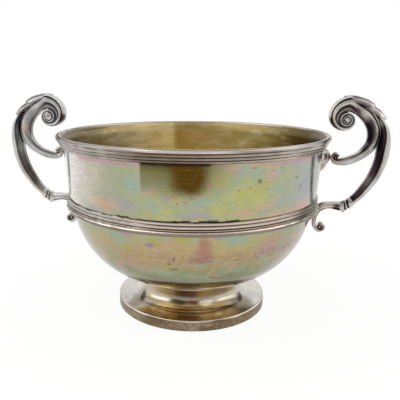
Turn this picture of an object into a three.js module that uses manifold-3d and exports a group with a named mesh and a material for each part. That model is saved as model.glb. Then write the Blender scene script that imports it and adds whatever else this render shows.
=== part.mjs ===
// A two-handled silver loving cup.
// A raised bowl stands on a spun foot and carries two cast scroll handles, one on each side.
// The cup's own upright line is the Z axis, the table is z = 0, and the handles lie along X.
// Every size is in millimetres.

import * as THREE from 'three';
import { mergeVertices } from 'three/addons/utils/BufferGeometryUtils.js';
import Module from 'manifold-3d';

const wasm = await Module();
wasm.setup();

// Facets

const ROUND_SEGMENTS = 52;
const BELLY_STEPS = 9;
const ARC_STEPS = 5;
const CURVE_STEPS = 2;
const SPIRAL_STEPS = 4;
const BOSS_SEGMENTS = 12;

// The gap that solder fills between two pieces

const SOLDER_GAP = 0.3;

// The bowl: a wall that narrows downwards, over a belly with a rounded bottom

const LIP_RADIUS = 110;
const LIP_TOP = 146.8;
const LIP_OVERHANG = 5.3;
const SHEET = 1.4;
const WALL_TAPER = 3.2;
const LIP_FLARE = 2.2;
const BELLY_STEP_IN = 2;
const BELLY_RISE = 9.2;
const BELLY_BASE = 22.2;
const BELLY_SQUARENESS = 2.48;

// The moulding round the lip: a rounded bead over three reeds

const BEAD_RADIUS = 1.8;
const BEAD_HEIGHT = 3.1;
const RIM_REEDS = 3;
const RIM_REED_PITCH = 2.2;
const REED_DEPTH = 0.7;
const REED_STEP_IN = 1.25;

// The moulding round the middle: two reeds over a half-round wire

const GIRDLE_DROP = 48;
const GIRDLE_REEDS = 2;
const GIRDLE_REED_PITCH = 2.5;
const GIRDLE_PROUD = 0.5;
const WIRE_RADIUS = 2.5;

// The foot: a thin wire round the neck, a spun dome and an upright strip round its edge

const FOOT_RADIUS = 63.1;
const FOOT_EDGE_HEIGHT = 8.2;
const FOOT_EDGE_WALL = 1.6;
const FOOT_EDGE_SOFTNESS = 0.4;
const FOOT_SHEET = 1.3;
const NECK_RADIUS = 42;
const NECK_DROP = 6.5;
const FLARE_RADIUS = 51;
const FLARE_HEIGHT = 11;
const COLLAR_WIRE = 0.9;

// The handles. The eye is the middle of the upper scroll.

const EYE_OUT = 11;
const EYE_UP = 11.2;
const HANDLE_REACH = 35;
const CROWN_RISE = 18.2;

// The volute's outer edge at each quarter turn inwards, as shares of the crown's rise

const VOLUTE_SHARES = [1, 0.714, 0.451, 0.363, 0.33, 0.302, 0.275, 0.247, 0.214];
const QUARTERS_PER_TURN = 4;
const VOLUTE_GROOVE = 0.6;
const VOLUTE_INNER_STRAP = 1.3;
const VOLUTE_WEB = 3.2;
const BOSS_HEIGHT = 3.4;

// Widths of the handles' pieces, from front to back

const EYE_WIDTH = 10;
const CROWN_WIDTH = 12;
const INNER_ARM_WIDTH = 7;
const CURL_WIDTH = 5.5;
const OUTER_ARM_WIDTH = 11.5;
const KNOP_WIDTH = 9.5;
const KNOP_WAIST = 7.9;
const LOWER_ARM_WIDTH = 7;
const TAIL_WIDTH = 5;
const LEAF_WIDTH = 10.6;
const LEAF_WAIST = 8;
const LEAF_TIP = 6;
const UPPER_PLATE_WIDTH = 15;
const LOWER_PLATE_WIDTH = 12;

// Colours

const SILVER = { color: 0xc9c6c0, roughness: 0.22, metalness: 1 };
const DARK_SILVER = { color: 0x9c958c, roughness: 0.32, metalness: 1 };

// Sizes that follow

const WALL_TOP_RADIUS = LIP_RADIUS - LIP_OVERHANG;
const WALL_BOTTOM_RADIUS = WALL_TOP_RADIUS - WALL_TAPER;
const BOWL_EDGE_RADIUS = WALL_TOP_RADIUS + LIP_FLARE;
const REEDS_TOP = LIP_TOP - BEAD_HEIGHT;
const RIM_BOTTOM = REEDS_TOP - RIM_REEDS * RIM_REED_PITCH;
const GIRDLE_TOP = LIP_TOP - GIRDLE_DROP;
const WIRE_TOP = GIRDLE_TOP - GIRDLE_REEDS * GIRDLE_REED_PITCH;
const WIRE_HEIGHT = WIRE_TOP - WIRE_RADIUS;
const GIRDLE_BOTTOM = WIRE_HEIGHT - WIRE_RADIUS;
const BELLY_RADIUS = WALL_BOTTOM_RADIUS - BELLY_STEP_IN;
const BELLY_CENTRE = GIRDLE_TOP + BELLY_RISE;
const BELLY_DEPTH = BELLY_CENTRE - BELLY_BASE;

// Solids of revolution

function lathe(points) {
  const geometry = new THREE.LatheGeometry(points, ROUND_SEGMENTS);
  geometry.rotateX(Math.PI / 2);
  return outward(geometry);
}

function closed(points) {
  return [...points, points[0]];
}

// Points on an arc between two directions, in degrees up from straight outwards

function arc(centre, radius, from, to) {
  const points = [];
  for (let i = 0; i <= ARC_STEPS; i += 1) {
    const turn = THREE.MathUtils.degToRad(THREE.MathUtils.lerp(from, to, i / ARC_STEPS));
    const spoke = new THREE.Vector2(Math.cos(turn), Math.sin(turn));
    points.push(spoke.multiplyScalar(radius).add(centre));
  }
  return points;
}

// Leaves only the corners of a mesh, joined, with its faces pointing out

function outward(geometry) {
  geometry.deleteAttribute('normal');
  geometry.deleteAttribute('uv');
  const merged = dropThinFaces(mergeVertices(geometry, 1e-4));
  if (volume(merged) < 0) {
    merged.index.array.reverse();
  }
  return merged;
}

function dropThinFaces(geometry) {
  const index = geometry.index.array;
  const kept = [];
  for (let i = 0; i < index.length; i += 3) {
    const [a, b, c] = [index[i], index[i + 1], index[i + 2]];
    if (a !== b && b !== c && c !== a) {
      kept.push(a, b, c);
    }
  }
  geometry.setIndex(kept);
  return geometry;
}

function volume(geometry) {
  const position = geometry.attributes.position;
  const index = geometry.index.array;
  const corner = [0, 1, 2].map(() => new THREE.Vector3());
  let sum = 0;
  for (let i = 0; i < index.length; i += 3) {
    corner.forEach((point, k) => point.fromBufferAttribute(position, index[i + k]));
    sum += corner[0].dot(corner[1].clone().cross(corner[2])) / 6;
  }
  return sum;
}

// Joining and cutting

function solid(geometry) {
  const vertProperties = new Float32Array(geometry.attributes.position.array);
  const triVerts = new Uint32Array(geometry.index.array);
  return new wasm.Manifold(new wasm.Mesh({ numProp: 3, vertProperties, triVerts }));
}

function geometryOf(body) {
  const mesh = body.getMesh();
  const geometry = new THREE.BufferGeometry();
  geometry.setAttribute('position', new THREE.BufferAttribute(mesh.vertProperties, 3));
  geometry.setIndex(new THREE.BufferAttribute(mesh.triVerts, 1));
  return geometry;
}

// The bowl's surface

function bellyRadius(height) {
  const share = (BELLY_CENTRE - height) / BELLY_DEPTH;
  return BELLY_RADIUS * (1 - share ** BELLY_SQUARENESS) ** (1 / BELLY_SQUARENESS);
}

function bellyHeight(radius) {
  const share = radius / BELLY_RADIUS;
  return BELLY_CENTRE - BELLY_DEPTH * (1 - share ** BELLY_SQUARENESS) ** (1 / BELLY_SQUARENESS);
}

function wallRadius(height) {
  return WALL_TOP_RADIUS - WALL_TAPER * ((LIP_TOP - height) / GIRDLE_DROP);
}

// From the axis at the bottom up to the top edge, moved outwards by a clearance

function bowlOutline(grow) {
  const lastRadius = bellyRadius(WIRE_HEIGHT);
  const points = [];
  for (let i = 0; i <= BELLY_STEPS; i += 1) {
    const turn = (i / BELLY_STEPS) * (Math.PI / 2);
    const radius = lastRadius * Math.sin(turn);
    const height = bellyHeight(radius) - grow * Math.cos(turn);
    points.push(new THREE.Vector2(radius + grow * Math.sin(turn), height));
  }
  points.push(new THREE.Vector2(wallRadius(WIRE_TOP) + grow, WIRE_TOP));
  points.push(new THREE.Vector2(wallRadius(RIM_BOTTOM) + grow, RIM_BOTTOM));
  points.push(new THREE.Vector2(BOWL_EDGE_RADIUS + grow, LIP_TOP - SHEET));
  return points;
}

function bowlShell() {
  const outside = bowlOutline(0);
  const inside = bowlOutline(-SHEET).reverse();
  return lathe([...outside, ...inside]);
}

// The rim's moulding covers the bowl's edge and stands against its outside

function rimMoulding() {
  const seat = LIP_TOP - SHEET + SOLDER_GAP;
  const beadCentre = new THREE.Vector2(LIP_RADIUS - BEAD_RADIUS, LIP_TOP - BEAD_RADIUS);
  const outline = [
    new THREE.Vector2(BOWL_EDGE_RADIUS - SHEET, seat),
    new THREE.Vector2(BOWL_EDGE_RADIUS - SHEET / 2, LIP_TOP - SOLDER_GAP),
    ...arc(beadCentre, BEAD_RADIUS, 90, -45),
  ];
  for (let i = 0; i < RIM_REEDS; i += 1) {
    const crest = LIP_RADIUS - BEAD_RADIUS / 2 - i * REED_STEP_IN;
    const top = REEDS_TOP - i * RIM_REED_PITCH;
    const root = crest - REED_DEPTH - REED_STEP_IN / 2;
    outline.push(new THREE.Vector2(crest, top - RIM_REED_PITCH / 2));
    outline.push(new THREE.Vector2(root, top - RIM_REED_PITCH));
  }
  outline.push(new THREE.Vector2(wallRadius(RIM_BOTTOM) + SOLDER_GAP, RIM_BOTTOM));
  outline.push(new THREE.Vector2(BOWL_EDGE_RADIUS + SOLDER_GAP, LIP_TOP - SHEET));
  outline.push(new THREE.Vector2(BOWL_EDGE_RADIUS + SOLDER_GAP, seat));
  return lathe(closed(outline));
}

function girdleOutline(grow) {
  const root = wallRadius(GIRDLE_TOP) + GIRDLE_PROUD + grow;
  const outline = [new THREE.Vector2(root, GIRDLE_TOP + grow)];
  for (let i = 0; i < GIRDLE_REEDS; i += 1) {
    const top = GIRDLE_TOP - i * GIRDLE_REED_PITCH;
    outline.push(new THREE.Vector2(root + REED_DEPTH, top - GIRDLE_REED_PITCH / 2));
    outline.push(new THREE.Vector2(root, top - GIRDLE_REED_PITCH));
  }
  const wireCentre = new THREE.Vector2(root + REED_DEPTH - grow - WIRE_RADIUS / 2, WIRE_HEIGHT);
  return [...outline, ...arc(wireCentre, WIRE_RADIUS + grow, 60, -90)];
}

function girdleMoulding() {
  const inside = [
    new THREE.Vector2(bellyRadius(GIRDLE_BOTTOM) + SOLDER_GAP, GIRDLE_BOTTOM),
    new THREE.Vector2(bellyRadius(WIRE_HEIGHT) + SOLDER_GAP, WIRE_HEIGHT),
    new THREE.Vector2(wallRadius(WIRE_TOP) + SOLDER_GAP, WIRE_TOP),
    new THREE.Vector2(wallRadius(GIRDLE_TOP) + SOLDER_GAP, GIRDLE_TOP),
  ];
  return lathe(closed([...girdleOutline(0), ...inside]));
}

// The foot's outside, or a line at an even depth inside it

function footCurve(depth) {
  const path = new THREE.Path();
  const neck = NECK_RADIUS - depth;
  const neckTop = bellyHeight(NECK_RADIUS - FOOT_SHEET) - SOLDER_GAP;
  const edge = FOOT_RADIUS - FOOT_EDGE_WALL - SOLDER_GAP;
  path.moveTo(neck, neckTop);
  path.lineTo(neck, neckTop - NECK_DROP);
  path.quadraticCurveTo(neck, FLARE_HEIGHT - depth, FLARE_RADIUS, FLARE_HEIGHT - depth);
  path.lineTo(edge, FOOT_EDGE_HEIGHT + FOOT_EDGE_SOFTNESS - depth);
  return path;
}

function pathPoints(path) {
  const points = [];
  for (const curve of path.curves) {
    const count = curve.isLineCurve ? 1 : ARC_STEPS;
    for (let i = 0; i <= count; i += 1) {
      points.push(curve.getPoint(i / count));
    }
  }
  return points.filter((point, i) => i === 0 || point.distanceTo(points[i - 1]) > 1e-6);
}

function footShell() {
  const outside = pathPoints(footCurve(0));
  const inside = pathPoints(footCurve(FOOT_SHEET)).reverse();
  return lathe(closed([...outside, ...inside]));
}

function footCollar() {
  const radius = NECK_RADIUS + SOLDER_GAP + COLLAR_WIRE;
  const height = bellyHeight(NECK_RADIUS) - SOLDER_GAP - COLLAR_WIRE;
  return lathe(closed(arc(new THREE.Vector2(radius, height), COLLAR_WIRE, 30, 330)));
}

function footRim() {
  const inner = FOOT_RADIUS - FOOT_EDGE_WALL;
  const outline = [
    new THREE.Vector2(inner, 0),
    new THREE.Vector2(FOOT_RADIUS, 0),
    new THREE.Vector2(FOOT_RADIUS, FOOT_EDGE_HEIGHT - FOOT_EDGE_SOFTNESS),
    new THREE.Vector2(FOOT_RADIUS - FOOT_EDGE_SOFTNESS, FOOT_EDGE_HEIGHT),
    new THREE.Vector2(inner, FOOT_EDGE_HEIGHT + FOOT_EDGE_SOFTNESS),
  ];
  return lathe(closed(outline));
}

// The handles' outlines are seen from the front, and their points are percentages.
// Outwards, -100 is the lip's edge, 0 is the eye and 100 is as far as the handle reaches.
// Upwards, -100 is the girdle's top, 0 is the eye and 100 is the crown's top.

function handlePoint(out, up) {
  const width = out < 0 ? EYE_OUT : HANDLE_REACH;
  const height = up < 0 ? EYE_UP + GIRDLE_DROP : CROWN_RISE;
  const x = LIP_RADIUS + EYE_OUT + (out / 100) * width;
  const z = LIP_TOP + EYE_UP + (up / 100) * height;
  return new THREE.Vector3(x, 0, z);
}

// A strap is a bar between an outer and an inner edge. Each row gives one point of each edge.

function edgesOf(rows) {
  return rows.map(([outerOut, outerUp, innerOut, innerUp]) => ({
    outer: handlePoint(outerOut, outerUp),
    inner: handlePoint(innerOut, innerUp),
  }));
}

// A strap's section: depth 0 at the outer edge and 1 at the inner, side 1 at full width

const FILLETED = [[0, 0.2], [0.1, 0.8], [0.25, 1], [0.6, 0.6], [1, 0.5]];
const CAPPED = [[0, 0.2], [0.12, 0.75], [0.3, 1], [0.5, 0.85], [0.7, 0.5], [1, 0.5]];
const ROUNDED = [[0, 0.4], [0.2, 0.85], [0.5, 1], [0.8, 0.85], [1, 0.4]];
const LEAFED = [[0, 0.2], [0.4, 0.8], [1, 1]];

// The value at a share of the way along a list of evenly spaced ones

function along(values, share) {
  const place = share * (values.length - 1);
  const before = Math.min(values.length - 2, Math.floor(place));
  return THREE.MathUtils.lerp(values[before], values[before + 1], place - before);
}

function straight(edges, widths) {
  return edges.map((edge, i) => ({ ...edge, width: along(widths, i / (edges.length - 1)) }));
}

// More stations between the given edges, on smooth curves

function smooth(edges, widths) {
  const outer = new THREE.CatmullRomCurve3(edges.map((edge) => edge.outer));
  const inner = new THREE.CatmullRomCurve3(edges.map((edge) => edge.inner));
  const count = (edges.length - 1) * CURVE_STEPS;
  const stations = [];
  for (let i = 0; i <= count; i += 1) {
    const share = i / count;
    const width = along(widths, share);
    stations.push({ outer: outer.getPoint(share), inner: inner.getPoint(share), width });
  }
  return stations;
}

// The first edge of a piece that is soldered to the end of another

function edgePast(edges) {
  const { outer, inner } = edges.at(-1);
  const before = edges.at(-2).outer;
  const across = inner.clone().sub(outer).normalize();
  const onward = new THREE.Vector3(across.z, 0, -across.x).multiplyScalar(SOLDER_GAP);
  if (onward.dot(outer.clone().sub(before)) < 0) {
    onward.negate();
  }
  return { outer: outer.clone().add(onward), inner: inner.clone().add(onward) };
}

function strap(stations, halfSection) {
  const mirrored = halfSection.map(([depth, side]) => [depth, -side]).reverse();
  const section = [...halfSection, ...mirrored];
  const positions = [];
  for (const { outer, inner, width } of stations) {
    for (const [depth, side] of section) {
      const point = outer.clone().lerp(inner, depth);
      positions.push(point.x, (side * width) / 2, point.z);
    }
  }
  const geometry = new THREE.BufferGeometry();
  geometry.setAttribute('position', new THREE.Float32BufferAttribute(positions, 3));
  geometry.setIndex([...strapSides(stations.length, section.length), ...strapEnds(stations.length, section)]);
  return solid(outward(geometry));
}

function strapSides(stationCount, count) {
  const faces = [];
  for (let i = 0; i < stationCount - 1; i += 1) {
    for (let j = 0; j < count; j += 1) {
      const a = i * count + j;
      const b = i * count + ((j + 1) % count);
      faces.push(a, b, a + count, b, b + count, a + count);
    }
  }
  return faces;
}

function strapEnds(stationCount, section) {
  const flat = section.map(([depth, side]) => new THREE.Vector2(depth, side));
  const last = (stationCount - 1) * section.length;
  const faces = [];
  for (const corners of THREE.ShapeUtils.triangulateShape(flat, [])) {
    const sameTurn = clockwise(flat) === clockwise(corners.map((corner) => flat[corner]));
    const [a, b, c] = sameTurn ? corners : corners.toReversed();
    faces.push(a, c, b, last + a, last + b, last + c);
  }
  return faces;
}

function clockwise(points) {
  return THREE.ShapeUtils.area(points) < 0;
}

// The volute, a number of quarter turns in from the crown's top

const VOLUTE_QUARTERS = VOLUTE_SHARES.length - 1;

function voluteRadius(quarters) {
  return along(VOLUTE_SHARES, quarters / VOLUTE_QUARTERS) * CROWN_RISE;
}

// Each turn's inner edge leaves a groove over the next turn, and the last turn is a plain strip

function voluteInnerRadius(quarters) {
  const thinnest = voluteRadius(quarters) - VOLUTE_INNER_STRAP;
  const next = quarters + QUARTERS_PER_TURN;
  return next < VOLUTE_QUARTERS ? Math.min(thinnest, voluteRadius(next) + VOLUTE_GROOVE) : thinnest;
}

function volutePoint(quarters, radius) {
  const turn = Math.PI / 2 + quarters * (Math.PI / 2);
  const eye = handlePoint(0, 0);
  return eye.add(new THREE.Vector3(radius * Math.cos(turn), 0, radius * Math.sin(turn)));
}

function voluteEdge(quarters) {
  const outer = volutePoint(quarters, voluteRadius(quarters));
  const inner = volutePoint(quarters, voluteInnerRadius(quarters));
  return { outer, inner };
}

function voluteStations() {
  const stations = [];
  for (let i = VOLUTE_QUARTERS * SPIRAL_STEPS; i > 0; i -= 1) {
    const quarters = i / SPIRAL_STEPS;
    const width = along([CROWN_WIDTH, EYE_WIDTH, EYE_WIDTH], quarters / VOLUTE_QUARTERS);
    stations.push({ ...voluteEdge(quarters), width });
  }
  return stations;
}

// A thin wall that closes the volute between its turns

function voluteWeb() {
  const outline = [];
  for (let i = 0; i < QUARTERS_PER_TURN * SPIRAL_STEPS; i += 1) {
    const quarters = i / SPIRAL_STEPS;
    const point = volutePoint(quarters, voluteRadius(quarters) - VOLUTE_INNER_STRAP);
    outline.push(new THREE.Vector2(point.x, point.z));
  }
  const shape = new THREE.Shape(outline);
  const geometry = new THREE.ExtrudeGeometry(shape, { depth: VOLUTE_WEB * 2, bevelEnabled: false });
  geometry.rotateX(Math.PI / 2);
  geometry.translate(0, VOLUTE_WEB, 0);
  return solid(outward(geometry));
}

// Crown, back of the C and inner arm, which rolls up against the wall's plate

function voluteScroll() {
  const rows = [
    [15.7, 85.7, 16, 31.3],
    [38.6, 55.5, 28.3, 14.8],
    [58.9, 19.8, 40.6, -3.7],
    [72, -7.9, 49.1, -13.9],
    [74.9, -24, 50.9, -24],
    [68, -37.8, 45.1, -34.8],
    [45.7, -50.7, 28.3, -45.6],
    [17.1, -59.5, 10, -50.5],
    [-18.2, -60.6, -23.6, -53.4],
    [-67.3, -58.1, -52.7, -53.5],
    [-90, -50.3, -70, -50.7],
    [-58.2, -43.9, -58.2, -47.6],
    [-27.3, -48, -43.6, -49.7],
  ];
  const widths = [CROWN_WIDTH, CROWN_WIDTH, INNER_ARM_WIDTH, CURL_WIDTH, CURL_WIDTH];
  const arm = smooth([voluteEdge(0), ...edgesOf(rows)], widths);
  return strap([...voluteStations(), ...arm], FILLETED).add(voluteWeb());
}

function voluteBoss(side) {
  const radius = voluteInnerRadius(VOLUTE_QUARTERS) - SOLDER_GAP;
  const outline = [
    new THREE.Vector2(0, 0),
    new THREE.Vector2(radius, 0),
    new THREE.Vector2(radius, BOSS_HEIGHT / 2),
    new THREE.Vector2(radius / 2, BOSS_HEIGHT),
    new THREE.Vector2(0, BOSS_HEIGHT),
  ];
  const geometry = new THREE.LatheGeometry(outline, BOSS_SEGMENTS);
  if (side < 0) {
    geometry.rotateX(Math.PI);
  }
  const eye = handlePoint(0, 0);
  geometry.translate(eye.x, side * (VOLUTE_WEB + SOLDER_GAP), eye.z);
  return outward(geometry);
}

// Two lapped lobes on the crown, the second running out over the outer arm

function crownLeaf() {
  const rows = [
    [11.4, 101.6, 10.9, 94],
    [25.7, 98.9, 21.7, 83],
    [44, 86.3, 38.3, 63.7],
    [54.9, 70.3, 49.1, 52.7],
    [58.3, 61.5, 56, 46.2],
    [71.4, 39.6, 68.6, 28.6],
    [85.7, 6.6, 82.9, 4.9],
  ];
  const widths = [LEAF_WAIST, LEAF_WIDTH, LEAF_WIDTH, LEAF_WAIST, LEAF_WIDTH, LEAF_WIDTH, LEAF_TIP];
  return strap(straight(edgesOf(rows), widths), LEAFED);
}

function outerArmEdges() {
  return edgesOf([
    [48, 50, 46.3, 45.6],
    [65.7, 26.4, 62.3, 17.6],
    [81.7, 0.5, 71.4, -4.1],
    [93.1, -10.1, 76.6, -13.5],
    [99.7, -25.7, 76.6, -25.7],
    [100, -42.6, 72, -39.2],
    [94.9, -59.8, 69.7, -54.4],
    [80.6, -80.9, 58.9, -74.7],
    [54.3, -102.7, 38.6, -95.6],
    [31.1, -115.5, 22.9, -106.4],
  ]);
}

function outerArm() {
  const widths = [KNOP_WIDTH, OUTER_ARM_WIDTH, OUTER_ARM_WIDTH, OUTER_ARM_WIDTH, KNOP_WIDTH];
  return strap(smooth(outerArmEdges(), widths), CAPPED);
}

function knopEdges() {
  const rows = [
    [23.4, -120.1, 16.6, -107.4],
    [20, -120.6, 13.7, -109.1],
    [14.3, -123, 9.1, -110.1],
    [9.7, -125.3, 6.6, -110.1],
    [2.9, -124.3, 0.6, -111.7],
  ];
  return [edgePast(outerArmEdges()), ...edgesOf(rows)];
}

function knop() {
  const widths = [KNOP_WIDTH, KNOP_WIDTH, KNOP_WAIST, KNOP_WAIST, KNOP_WIDTH, KNOP_WIDTH];
  return strap(straight(knopEdges(), widths), ROUNDED);
}

// Lower arm, soldered to the girdle, and its tail, which rolls outwards at the end

function lowerScroll() {
  const rows = [
    [-68.2, -112.2, -66.4, -121.6],
    [-136.4, -114.2, -121.8, -125],
    [-178.2, -125.3, -145.5, -130.1],
    [-189.1, -137.2, -161.8, -138.5],
    [-181.8, -149, -158.2, -147.3],
    [-140, -156.3, -136.4, -151.9],
    [-100, -150.7, -118.2, -149],
    [-114.5, -142.2, -121.8, -145.6],
  ];
  const widths = [LOWER_ARM_WIDTH, LOWER_ARM_WIDTH, TAIL_WIDTH, TAIL_WIDTH, TAIL_WIDTH];
  return strap(smooth([edgePast(knopEdges()), ...edgesOf(rows)], widths), ROUNDED);
}

// A leaf-shaped plate, broad near the top and pointed below. Each row gives its face's place
// and its share of the full width. It reaches into the bowl and is then cut to it.

function leafPlate(rows, fullWidth, rootRadius) {
  const stations = rows.map(([out, up, share]) => {
    const outer = handlePoint(out, up);
    outer.x -= SOLDER_GAP;
    const inner = new THREE.Vector3(rootRadius, 0, outer.z);
    return { outer, inner, width: (share / 100) * fullWidth };
  });
  return strap(stations, LEAFED);
}

function upperPlate() {
  const rows = [
    [-120.9, -39.5, 53],
    [-95.5, -42.6, 93],
    [-90, -49.3, 100],
    [-93.6, -56.1, 80],
    [-110, -62.8, 53],
    [-133.6, -69.6, 13],
  ];
  return leafPlate(rows, UPPER_PLATE_WIDTH, BELLY_RADIUS);
}

function lowerPlate() {
  const rows = [
    [-191.8, -118.1, 83],
    [-189.1, -123.6, 100],
    [-189.1, -133.8, 92],
    [-206.4, -142.2, 58],
    [-237.3, -149.8, 17],
  ];
  const tip = handlePoint(...rows.at(-1)).z;
  return leafPlate(rows, LOWER_PLATE_WIDTH, bellyRadius(tip) - SHEET);
}

// Everything that the handles are soldered to, grown by the solder gap

function cupEnvelope() {
  const bowl = [...bowlOutline(SOLDER_GAP), new THREE.Vector2(0, LIP_TOP - SHEET)];
  const girdle = [...girdleOutline(SOLDER_GAP), new THREE.Vector2(0, WIRE_HEIGHT)];
  return solid(lathe(bowl)).add(solid(lathe(closed(girdle))));
}

// The object

function mesh(name, geometry, look) {
  const result = new THREE.Mesh(geometry, new THREE.MeshStandardMaterial(look));
  result.name = name;
  return result;
}

function handle(side, envelope, front) {
  const bodies = {
    volute_scroll: voluteScroll(),
    crown_leaf: crownLeaf(),
    outer_arm: outerArm(),
    knop: knop(),
    lower_scroll: lowerScroll().subtract(envelope),
    upper_plate: upperPlate().subtract(envelope),
    lower_plate: lowerPlate().subtract(envelope),
  };
  const group = new THREE.Group();
  for (const [name, body] of Object.entries(bodies)) {
    group.add(mesh(`${side}_${name}`, geometryOf(body), DARK_SILVER));
  }
  group.add(mesh(`${side}_front_boss`, voluteBoss(front), DARK_SILVER));
  group.add(mesh(`${side}_back_boss`, voluteBoss(-front), DARK_SILVER));
  return group;
}

const cup = new THREE.Group();
cup.add(mesh('bowl_shell', bowlShell(), SILVER));
cup.add(mesh('rim_moulding', rimMoulding(), SILVER));
cup.add(mesh('girdle_moulding', girdleMoulding(), SILVER));
cup.add(mesh('foot_collar', footCollar(), SILVER));
cup.add(mesh('foot_shell', footShell(), SILVER));
cup.add(mesh('foot_rim', footRim(), SILVER));

// The front is towards -Y on the right handle, and the left handle is the same one turned round

const envelope = cupEnvelope();
const right = handle('right', envelope, -1);
const left = handle('left', envelope, 1);
left.rotation.z = Math.PI;
cup.add(right, left);

export default cup;
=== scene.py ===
# %% [markdown]
# A silver loving cup, dressed for a photograph.
# The real cup is a raised bowl on a spun foot with two cast scroll handles, all soldered together.
# It could be drawn afresh, but its measured solids exist already. So they come in first as a fixed
# frame, and every piece below is built over the solid that it stands for.

# %% Load the frame
import math

import bmesh
import bpy
import numpy as np
from mathutils import Matrix, Vector


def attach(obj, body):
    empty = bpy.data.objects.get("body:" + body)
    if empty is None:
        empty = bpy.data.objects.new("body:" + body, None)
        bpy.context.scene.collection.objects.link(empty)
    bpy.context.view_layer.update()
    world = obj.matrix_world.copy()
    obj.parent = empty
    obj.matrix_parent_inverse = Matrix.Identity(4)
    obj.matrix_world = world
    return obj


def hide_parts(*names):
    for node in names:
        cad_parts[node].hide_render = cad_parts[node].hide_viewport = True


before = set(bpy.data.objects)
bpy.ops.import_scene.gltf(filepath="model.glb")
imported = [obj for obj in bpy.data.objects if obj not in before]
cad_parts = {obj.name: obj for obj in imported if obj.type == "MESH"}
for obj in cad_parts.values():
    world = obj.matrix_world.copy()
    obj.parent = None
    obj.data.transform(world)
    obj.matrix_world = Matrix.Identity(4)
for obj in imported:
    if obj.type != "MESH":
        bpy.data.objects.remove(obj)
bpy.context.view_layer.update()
print("solids:", len(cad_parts))

# %% [markdown]
# A silversmith measures in millimetres and Blender in metres. Typing metres would fill the lesson
# with zeros, so one factor turns one into the other. Colours are written as they look on a
# screen, and one function turns them to the linear light that Blender calculates with.

# %% Units and colours
MM = 0.001


def linear(hex_colour):
    """Turns a screen colour such as "c8c4bc" into linear light."""
    parts = [int(hex_colour[i:i + 2], 16) / 255 for i in (0, 2, 4)]
    return tuple(c / 12.92 if c <= 0.04045 else ((c + 0.055) / 1.055) ** 2.4 for c in parts) + (1.0,)


print("screen grey 808080 in linear light:", round(linear("808080")[0], 3))

# %% [markdown]
# Finishes, lights and the lathe further down are all made of linked nodes. They could be placed
# by hand in the node editor. In a script one small function does it: it adds a node, sets it and
# links it, so that a line of code reads like one box of the editor.

# %% One way to add a node
def add(tree, kind, inputs=None, **settings):
    """Adds a node. An input is a number, a colour, a socket, or a node whose first output feeds it."""
    node = tree.nodes.new(kind)
    for name, value in settings.items():
        setattr(node, name, value)
    for key, value in (inputs or {}).items():
        if isinstance(value, bpy.types.Node):
            value = value.outputs[0]
        if isinstance(value, bpy.types.NodeSocket):
            tree.links.new(value, node.inputs[key])
        else:
            node.inputs[key].default_value = value
    return node


print("ready to add nodes to any tree")

# %% [markdown]
# The camera stands a little right of the cup's front and looks slightly down on it. It could be
# moved by eye until the view looks right. Here it was found by fitting the ovals of lip, girdle
# and foot, which gives height, distance and lens together. The cup sits left of the lens's axis
# in the square picture, and the camera's shift does that.

# %% Camera
CAMERA_DISTANCE = 405.2
CAMERA_HEIGHT = 187.9
CAMERA_SIDE = math.radians(5.88)
CAMERA_PITCH = math.radians(14.31)
CAMERA_YAW = math.radians(-1.46)
CAMERA_ROLL = math.radians(0.162)
SENSOR_WIDTH = 36
IMAGE_PIXELS = 400
FOCAL_PIXELS = 490.6
SHIFT_PIXELS = (20.2, 5.0)

lens = bpy.data.cameras.new("studio_camera")
lens.sensor_width = SENSOR_WIDTH
lens.lens = FOCAL_PIXELS * SENSOR_WIDTH / IMAGE_PIXELS
lens.shift_x, lens.shift_y = (pixels / IMAGE_PIXELS for pixels in SHIFT_PIXELS)
camera = bpy.data.objects.new("studio_camera", lens)
bpy.context.scene.collection.objects.link(camera)
looking = Vector((math.sin(CAMERA_YAW) * math.cos(CAMERA_PITCH),
                  math.cos(CAMERA_YAW) * math.cos(CAMERA_PITCH), -math.sin(CAMERA_PITCH)))
level = Vector((math.cos(CAMERA_YAW), -math.sin(CAMERA_YAW), 0))
upward = level.cross(looking)
across = level * math.cos(CAMERA_ROLL) + upward * math.sin(CAMERA_ROLL)
upward = upward * math.cos(CAMERA_ROLL) - level * math.sin(CAMERA_ROLL)
turned = Matrix((across, upward, -looking)).transposed().to_4x4()
stand_off = Matrix.Translation((0, -CAMERA_DISTANCE * MM, CAMERA_HEIGHT * MM))
camera.matrix_world = Matrix.Rotation(CAMERA_SIDE, 4, "Z") @ stand_off @ turned
bpy.context.scene.camera = camera
print("lens, mm:", round(lens.lens, 2))

# %% [markdown]
# Polished silver shows its surroundings more than itself, so the studio is part of the finish.
# A white room with one darker side would do, but its corners would show in the bowl as dents.
# A light tent is simpler and softer. The world is white where it is seen, and in the silver it
# is dimmer in front of the cup, where a real tent has its opening.

# %% World
TENT_OPENING = 0.5
FILL_LIGHT = 0.62

world = bpy.data.worlds.new("light_tent")
bpy.context.scene.world = world
world.use_nodes = True
tree = world.node_tree
tree.nodes.clear()
rays = add(tree, "ShaderNodeLightPath").outputs
direction = add(tree, "ShaderNodeTexCoord").outputs["Generated"]
to_opening = Vector((math.sin(CAMERA_SIDE), -math.cos(CAMERA_SIDE), 0.1)).normalized()
facing = add(tree, "ShaderNodeVectorMath", {0: direction, 1: to_opening}, operation="DOT_PRODUCT")
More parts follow.
